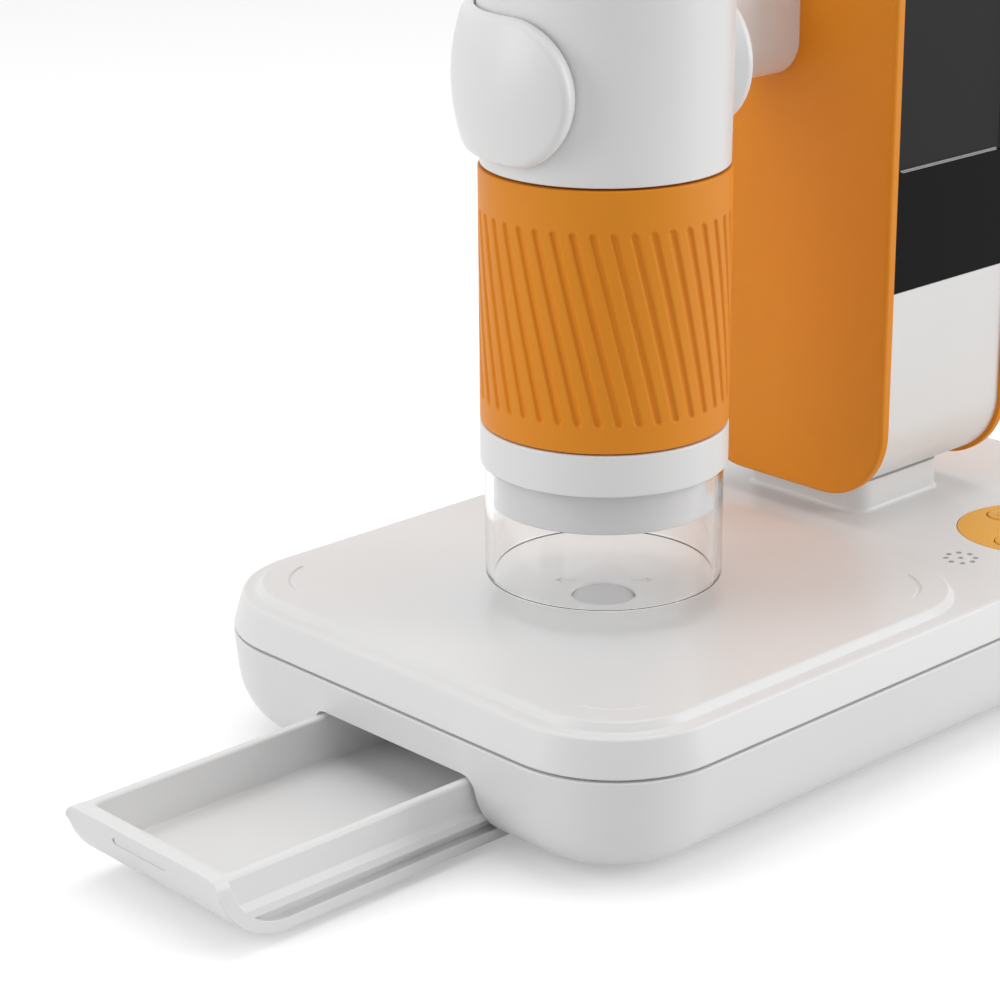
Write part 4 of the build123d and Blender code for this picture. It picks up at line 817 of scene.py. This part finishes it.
def panel(name, inner, outer, node):
    """A side panel from its inner face to its outer face, rolled at the outer edge."""
    way = 1 if outer > inner else -1
    levels = [(inner, panel_proud - panel_break), (inner + way * panel_break, panel_proud)]
    for angle in (0, 15, 30, 45, 60, 75, 90):
        levels.append((outer - way * panel_roll * (1 - sin(radians(angle))),
                       panel_proud - panel_roll * (1 - cos(radians(angle)))))
    piece = body_of(name, *skin([[(x, y, z) for y, z in tower_line(grow)] for x, grow in levels]))
    return dress(piece, name, "base", "orange", orange_skin, node)


panel("panel_left", tower_left, tower_left - panel_thickness, "left_panel")
panel("panel_right", tower_right, tower_right + panel_thickness, "right_panel")

# Glass and display
# One black glass over the tower's whole width. The switched-off screen lies just behind its
# window. Along the window's sill a thin light grey line is a painted highlight for the bezel's lit
# edge, and a darker strip down the right side is painted shade for the bezel's shaded inner side.
black_glass = moulded("black_glass", (0.004, 0.004, 0.0045), 0.18, 5.0, 0.0005, gloss=0.06)
screen_grey = moulded("screen_grey", (0.020, 0.020, 0.021), 0.4, 4.0, 0.0005, gloss=0.08)
# Painted shade: a darker grey for the strip where the bezel's inner side lies in shade
strip_grey = moulded("strip_grey", (0.010, 0.011, 0.011), 0.4, 4.0, 0.0005, gloss=0.08)
# Painted highlight: a light grey that stands for the lit lower edge of the window's bezel
sill_metal = moulded("sill_metal", (0.42, 0.42, 0.43), 0.3, 1.0, 0.001)
pane_left, pane_right, pane_low, pane_high = 22.9, 53.1, 89.8, 130.6
pane_deep, pane_corner, strip_width = 0.55, 2.0, 2.3
glass = prism(
    "glass", [(tower_front, glass_bottom), (glass_back, glass_bottom), (glass_back, glass_top),
              (tower_front, glass_top)],
    tower_left + 0.02, tower_right - 0.02)


def pane_line(pull, corner):
    """The window's outline in (X, Z), drawn in by a pull."""
    width, height = pane_right - pane_left, pane_high - pane_low
    middle_x, middle_z = (pane_left + pane_right) / 2, (pane_low + pane_high) / 2
    ring = outline(width - 2 * pull, height - 2 * pull, corner, 6)
    return [(middle_x + x, middle_z + z) for x, z in ring]


pane_back = tower_front + pane_deep
combine(glass, prism("window", pane_line(0, pane_corner), tower_front - 1, pane_back, "Y"))
dress(glass, "glass_front", "base", "black_glass", black_glass, "display_glass")
screen = prism("screen", pane_line(0.05, 1.9), pane_back - 0.12, glass_back - 0.2, "Y")
dress(screen, "screen", "base", "display", screen_grey)
# Painted shade: a thin dark sheet down the window's right side, standing for the shade on the
# bezel's inner side
strip_left, strip_right = pane_right - strip_width, pane_right - 0.2
strip_line = [(strip_left, pane_low + 0.4), (strip_right, pane_low + pane_corner),
              (strip_right, pane_high - pane_corner), (strip_left, pane_high - 0.4)]
dark_strip = prism("dark_strip", strip_line, pane_back - 0.16, pane_back - 0.1, "Y")
dress(dark_strip, "screen_strip", "base", "display", strip_grey)
# Painted highlight: two thin light grey slabs along the window's lower edge, coloured as the
# bezel's lit edge
sill_left, sill_right, sill_height = pane_left + 0.3, strip_left - 0.8, 0.16
for number, sill_z in enumerate((pane_low + 0.02, pane_low + 0.27), start=1):
    sill_line = [(sill_left, sill_z), (sill_right, sill_z), (sill_right, sill_z + sill_height),
                 (sill_left, sill_z + sill_height)]
    sill = prism("sill", sill_line, tower_front + 0.1 * number, pane_back, "Y")
    dress(sill, f"window_sill_{number}", "base", "display", sill_metal)

# Clamp and arm
# One white moulding: a barrelled ring, open to the front, whose two ends are round lobes, and
# the rounded arm that carries it from the left side panel.
clamp_z, clamp_half, clamp_bore, clamp_end = 113.5, 11.4, 20.25, 182.4
clamp_outer, clamp_shoulder, shoulder_z, clamp_mid_radius = 24.0, 22.35, 10.2, 22.0
clamp_roll, bore_roll = 1.3, 0.4
arm_y, arm_width, arm_height, arm_corner = 12.95, 15.8, 19.6, 6.6
lobe_steps, back_steps = 24, 40
clamp_start_angle, clamp_end_angle = radians(180 - clamp_end), radians(clamp_end)
clamp_fall = clamp_outer - clamp_shoulder
barrel_bow = (shoulder_z ** 2 + clamp_fall ** 2) / (2 * clamp_fall)


def barrel(z):
    """Outer radius of the clamp at a height from its middle."""
    return clamp_outer - barrel_bow + sqrt(barrel_bow ** 2 - z * z)


def clamp_ring(inset, radius_of):
    """One loop of the clamp's face, drawn in from its edge by an inset."""
    half = clamp_half - inset
    sweep = clamp_end_angle - clamp_start_angle
    backs = [clamp_start_angle + sweep * k / back_steps for k in range(back_steps + 1)]
    turns = [pi * k / lobe_steps for k in range(1, lobe_steps)]
    lobe = [(half * sin(t) / clamp_mid_radius, half * cos(t)) for t in turns]
    loop = [(angle, half) for angle in backs]
    loop += [(clamp_end_angle + reach, z) for reach, z in lobe]
    loop += [(angle, -half) for angle in reversed(backs)]
    loop += [(clamp_start_angle - reach, -z) for reach, z in lobe]
    return [
        (axis[0] + radius_of(z) * cos(angle), axis[1] + radius_of(z) * sin(angle), clamp_z + z)
        for angle, z in loop
    ]


inner_rings = [clamp_ring(inset, lambda z: clamp_bore) for inset in (11.39, 8, 4, 1.0, bore_roll)]
inner_rings += [clamp_ring(bore_roll * 0.3, lambda z: clamp_bore + bore_roll * 0.3),
                clamp_ring(0, lambda z: clamp_bore + bore_roll)]
outer_rings = []
for angle in (0, 15, 30, 45, 60, 75, 90):
    inset = clamp_roll * (1 - cos(radians(angle)))
    drop = clamp_roll * (1 - sin(radians(angle)))
    outer_rings.append(clamp_ring(inset, lambda z, d=drop: barrel(z) - d))
outer_rings += [clamp_ring(inset, barrel) for inset in (2.2, 3.4, 5.0, 7.0, 9.0, 10.6, 11.39)]
points, faces = skin(inner_rings + outer_rings)
clamp = body_of("clamp", points, faces[:-2])
tidy_faces(clamp.data, 3e-5)
arm_line = [(arm_y + y, clamp_z + z) for y, z in outline(arm_width, arm_height, arm_corner, 12)]
arm = prism("arm", arm_line, axis[0] + 4, tower_left - panel_thickness)
combine(arm, turned("arm_trim", axis, [(0, 90), (21.5, 90), (21.5, 140), (0, 140)]))
combine(clamp, arm, "UNION")
dress(clamp, "clamp_and_arm", "base", "white_shell", white_plastic, "clamp_arm")

# Tube head
# A thin white moulded barrel, slightly narrower at its foot, with a white cap pressed into its
# top. The cap holds the charging inlet and the orange power button, which is pushed down.
head_bottom, head_top, head_foot_radius, head_radius = 99.85, 150.0, 19.7, 19.95
head_bore, head_neck, head_widest, neck_top = 17.95, 17.05, 124.4, 101.85
stopper_under, stopper_top, stopper_skirt, stopper_fit = 146.1, 148.5, 140.1, 17.85
skirt_bore, button_hole = 16.35, 5.25
button_radius, button_top, button_bottom = 5.0, 149.1, 145.1
button_flange, button_flange_top = 6.0, 146.0
dish_radius, dish_z, power_ring = 1.5, 148.95, 2.0
head = turned("head", axis, soften([
    (head_neck, head_bottom, 0), (head_foot_radius, head_bottom, 0.25),
    (head_radius, head_widest, 0), (head_radius, head_top, 1.5), (head_bore, head_top, 0.2),
    (head_bore, neck_top, 0),
    (head_neck, neck_top, 0)], 6, closed=True), 160)
dress(head, "tube_head", "tube", "white_shell", white_plastic, "head_shell")
top_cap = turned("top_cap", axis, soften([
    (button_hole, stopper_under, 0), (button_hole, stopper_top, 0.25),
    (stopper_fit, stopper_top, 0.25), (stopper_fit, stopper_skirt, 0),
    (skirt_bore, stopper_skirt, 0), (skirt_bore, stopper_under, 0)], 6, closed=True), 128)
inlet_y = axis[1] + 11.0
combine(top_cap, body_of("inlet_hole", *skin([
    [(axis[0] + x, inlet_y + y, z) for x, y in inlet_line] for z in (144, 150)])))
dress(top_cap, "tube_top_cap", "tube", "white_shell", white_plastic, "top_cap")
button = turned("button", axis, soften([
    (0, button_bottom, 0), (button_flange, button_bottom, 0), (button_flange, button_flange_top, 0),
    (button_radius, button_flange_top, 0), (button_radius, button_top, 0.3),
    (dish_radius, dish_z, 0), (0, dish_z, 0)], 4), 96)
dress(button, "power_button_cap", "power_button", "orange", disc_orange, "power_button")
power_lines = (arc_line(axis, power_ring, 125, 415, 24), spoke(axis, 0.9, 2.4, 90))
for part, line in enumerate(power_lines, start=1):
    sign = capsule("sign", line, 0.3, 0.12, 149.0, sides=8, rounds=2)
    dress(sign, f"power_sign_{part}", "power_button", "dark_plastic", ink)

# Focus ring
# A soft-grained orange moulded sleeve that turns on the barrel between the head and the nose
# ring. Forty slanted flutes with round ends are pressed into it, for the fingers to hold.
focus_bottom, focus_top, focus_radius, focus_bore, lip_bore = 57.95, 99.5, 20.0, 17.9, 17.08
flute_count, flute_bottom, flute_top = 40, 62.15, 93.05
flute_width, flute_depth, flute_slant, flute_top_angle = 1.35, 0.5, 13.5, 3.7
end_roll, lip_height = 0.25, 3
slant = tan(radians(flute_slant)) / focus_radius
pitch_angle = 2 * pi / flute_count
tile_angle = pitch_angle / 2
half_width = flute_width / 2
half_steps = [0.07, 0.15, 0.22, 0.27, 0.3, 0.33, 0.36, 0.4, 0.5, 0.72, 1]
across_steps = [-a for a in reversed(half_steps)] + [0] + half_steps


def turn_at(z):
    """How far the flutes have turned round the sleeve at a height."""
    return radians(flute_top_angle) + (flute_top - half_width - z) * slant


def flute_sink(across, along):
    """How far the sleeve's face is pressed in at a place across and along a flute."""
    beyond = max(flute_bottom + half_width - along, along - (flute_top - half_width), 0)
    distance = hypot(across, beyond)
    share = min(distance / half_width, 1)
    return flute_depth * (1 - share ** 3) ** 1.4 if share < 1 else 0.0


round_end = [flute_width * k / 12 for k in range(13)]
straight = flute_top - flute_bottom - 2 * flute_width
heights = [focus_bottom + end_roll, focus_bottom + 1.0, 60.5, 61.6]
heights += [flute_bottom + rise for rise in round_end]
heights += [flute_bottom + flute_width + straight * k / 14 for k in range(1, 14)]
heights += [flute_top - flute_width + rise for rise in round_end]
heights += [93.6, 94.5, 97.0, focus_top - 1.0, focus_top - end_roll]
tile_points, tile_faces = [], []
for z in heights:
    for a in across_steps:
        across = a * tile_angle * focus_radius
        radius = focus_radius - flute_sink(across * cos(radians(flute_slant)), z)
        angle = turn_at(z) + a * tile_angle
        tile_points.append((radius * cos(angle), radius * sin(angle), z))
columns = len(across_steps)
for row in range(len(heights) - 1):
    for column in range(columns - 1):
        low = row * columns + column
        tile_faces.append((low, low + 1, low + 1 + columns, low + columns))
tile = bpy.data.meshes.new("flute_tile")
tile.from_pydata([tuple(c * mm for c in p) for p in tile_points], [], tile_faces)
tile_object = bpy.data.objects.new("flute_tile", tile)
bpy.context.scene.collection.objects.link(tile_object)

# One flute's strip of the sleeve, set round the barrel as many times as there are flutes
ring_tree, entry, leave = node_tree("flutes_round_the_sleeve", [
    ("Strip", "NodeSocketObject"), ("Count", "NodeSocketInt"), ("Middle", "NodeSocketVector"),
    ("Material", "NodeSocketMaterial")])
nodes, links = ring_tree.nodes, ring_tree.links
middles = nodes.new("GeometryNodeMeshLine")
middles.mode = "OFFSET"
middles.inputs["Offset"].default_value = (0, 0, 0)
links.new(entry.outputs["Count"], middles.inputs["Count"])
links.new(entry.outputs["Middle"], middles.inputs["Start Location"])
strip = nodes.new("GeometryNodeObjectInfo")
links.new(entry.outputs["Strip"], strip.inputs["Object"])
strip_number = nodes.new("GeometryNodeInputIndex")
turn_step = nodes.new("ShaderNodeMath")
turn_step.operation = "DIVIDE"
turn_step.inputs[0].default_value = 2 * pi
links.new(entry.outputs["Count"], turn_step.inputs[1])
strip_turn = nodes.new("ShaderNodeMath")
strip_turn.operation = "MULTIPLY"
links.new(strip_number.outputs[0], strip_turn.inputs[0])
links.new(turn_step.outputs[0], strip_turn.inputs[1])
upright = nodes.new("ShaderNodeCombineXYZ")
links.new(strip_turn.outputs[0], upright.inputs["Z"])
spread = nodes.new("GeometryNodeInstanceOnPoints")
links.new(middles.outputs["Mesh"], spread.inputs["Points"])
links.new(strip.outputs["Geometry"], spread.inputs["Instance"])
links.new(upright.outputs[0], spread.inputs["Rotation"])
made_real(ring_tree, entry, leave, spread.outputs["Instances"], weld=2e-6)
sleeve = grown("focus_sleeve", ring_tree, {
    "Strip": tile_object, "Count": flute_count, "Middle": (axis[0] * mm, axis[1] * mm, 0),
    "Material": orange_skin})
bpy.data.objects.remove(tile_object)

# The sleeve's rolled ends and bore, joined to the fluted face
collar_profile = soften([
    (focus_radius, focus_top - end_roll, 0), (focus_radius, focus_top, end_roll),
    (lip_bore, focus_top, 0.1), (lip_bore, focus_top - lip_height, 0),
    (focus_bore, focus_top - lip_height, 0), (focus_bore, focus_bottom + lip_height, 0),
    (lip_bore, focus_bottom + lip_height, 0), (lip_bore, focus_bottom, 0.1),
    (focus_radius, focus_bottom, end_roll), (focus_radius, focus_bottom + end_roll, 0)], 5)
end_angles = [index * pitch_angle + a * tile_angle
              for index in range(flute_count) for a in across_steps[:-1]]
rings = []
for radius, z in collar_profile:
    turned_angles = [turn_at(z) + a for a in end_angles]
    rings.append([(axis[0] + radius * cos(a), axis[1] + radius * sin(a), z) for a in turned_angles])
points, faces = skin(rings)
collars = body_of("collars", points, faces[:-2])
work = bmesh.new()
work.from_mesh(sleeve.data)
work.from_mesh(collars.data)
bmesh.ops.remove_doubles(work, verts=work.verts, dist=5e-6)
bmesh.ops.recalc_face_normals(work, faces=work.faces)
work.to_mesh(sleeve.data)
work.free()
bpy.data.objects.remove(collars)
dress(sleeve, "focus_sleeve", "focus_ring", "orange", orange_skin, "focus_ring", crease=60)

# Nose ring
# A white moulded ring that closes the barrel, in one with the thinner spigot below it, which the
# clear cap pushes on to. The spigot is the same white plastic, painted grey as shade for where it
# lies behind the clear cap.
ring_bottom, ring_top, ring_radius, ring_bore, ring_roll = 50.8, 57.7, 20.05, 17.05, 0.4
spigot_bottom, spigot_radius, spigot_bore = 44.0, 17.9, 16.4
spigot_top = ring_bottom - 0.02
nose = turned("nose", axis, soften([
    (ring_bore, ring_bottom, 0), (ring_radius, ring_bottom, ring_roll),
    (ring_radius, ring_top, ring_roll), (ring_bore, ring_top, 0)], 6, closed=True), 160)
dress(nose, "nose_ring_body", "tube", "white_shell", white_plastic, "nose_ring")
# Painted shade: the spigot's white plastic is darkened to grey for the shade it lies in behind the
# clear cap
spigot_grey = moulded("spigot_grey", (0.56, 0.55, 0.56), 0.45, 0.30, 0.006)
spigot = turned("spigot", axis, soften([
    (spigot_bore, spigot_bottom, 0.2), (spigot_radius, spigot_bottom, 0.3),
    (spigot_radius, spigot_top, 0), (spigot_bore, spigot_top, 0)], 5, closed=True), 160)
dress(spigot, "nose_spigot", "tube", "white_shell", spigot_grey)

# Clear cap
# An open tube of clear acrylic with rolled rims. It keeps the lens at its distance from a
# specimen and is pulled down off the spigot.
cap_bore, cap_radius, cap_low, cap_high = 18.04, 19.34, 31.5, 50.7
clear = bpy.data.materials.new("clear_acrylic")
clear.use_nodes = True
clear_nodes, clear_links = clear.node_tree.nodes, clear.node_tree.links
acrylic = clear_nodes["Principled BSDF"]
acrylic.inputs["Base Color"].default_value = (1, 1, 1, 1)
acrylic.inputs["Roughness"].default_value = 0.02
acrylic.inputs["IOR"].default_value = 1.49
acrylic.inputs["Transmission Weight"].default_value = 1.0
lets_through = clear_nodes.new("ShaderNodeBsdfTransparent")
lets_through.inputs["Color"].default_value = (0.93, 0.93, 0.93, 1)
ray = clear_nodes.new("ShaderNodeLightPath")
clear_mix = clear_nodes.new("ShaderNodeMixShader")
clear_links.new(ray.outputs["Is Shadow Ray"], clear_mix.inputs["Fac"])
clear_links.new(acrylic.outputs[0], clear_mix.inputs[1])
clear_links.new(lets_through.outputs[0], clear_mix.inputs[2])
clear_links.new(clear_mix.outputs[0], clear_nodes["Material Output"].inputs["Surface"])
cap = turned("cap", axis, soften([
    (cap_bore, cap_low, 0.2), (cap_radius, cap_low, 0.3), (cap_radius, cap_high, 0.2),
    (cap_bore, cap_high, 0.2)], 5, closed=True), 192)
dress(cap, "clear_nose_cap", "clear_cap", "clear_plastic", clear, "clear_cap")

# Inner parts
# Boards, cells, switches, lenses, screws and sockets inside the shells stay as the frame has
# them, each kind in the finish of its real material: lacquered board, film, steel or glass.
board_green = moulded("board_green", (0.02, 0.16, 0.07), 0.35, 1.6, 0.02, mottle=0.12)
dark_mat = moulded("dark_mat", (0.03, 0.03, 0.032), 0.55, 0.3, 0.008, mottle=0.06)
cell_film = moulded("cell_film", (0.30, 0.34, 0.40), 0.3, 2.0, 0.004, mottle=0.04)
socket_metal = moulded("socket_metal", (0.62, 0.62, 0.64), 0.28, 0.4, 0.002, metal=1.0)
plate_zinc = moulded("plate_zinc", (0.55, 0.55, 0.57), 0.4, 0.8, 0.004, mottle=0.05, metal=1.0)
lamp_yellow = moulded("lamp_yellow", (0.85, 0.80, 0.55), 0.3, 0.8, 0.002)
lens_glass = moulded("lens_glass", (0.88, 0.92, 0.95), 0.04, 3.0, 0.0002, clear=1.0)
window_clear = moulded("window_clear", (0.95, 0.95, 0.95), 0.05, 3.0, 0.0002, clear=1.0)
inner_looks = {
    board_green: ["stage_led_board", "main_board", "inlet_board", "tower_board", "led_ring_board",
                  "image_sensor_board", "tube_board", "button_board"],
    dark_mat: ["speaker", "key_switches", "power_switch", "inner_barrel", "lens_carrier",
               "display_module"],
    cell_film: ["base_battery", "tube_battery"],
    socket_metal: ["usb_inlet", "tube_inlet"],
    screw_steel: ["tower_screws", "arm_screws"],
    plate_zinc: ["arm_plate"],
    lamp_yellow: ["stage_led", "nose_leds"],
    lens_glass: ["objective_lens"],
    window_clear: ["nose_window"],
}
for look, node_names in inner_looks.items():
    for node_name in node_names:
        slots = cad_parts[node_name].data.materials
        slots.clear()
        slots.append(look)
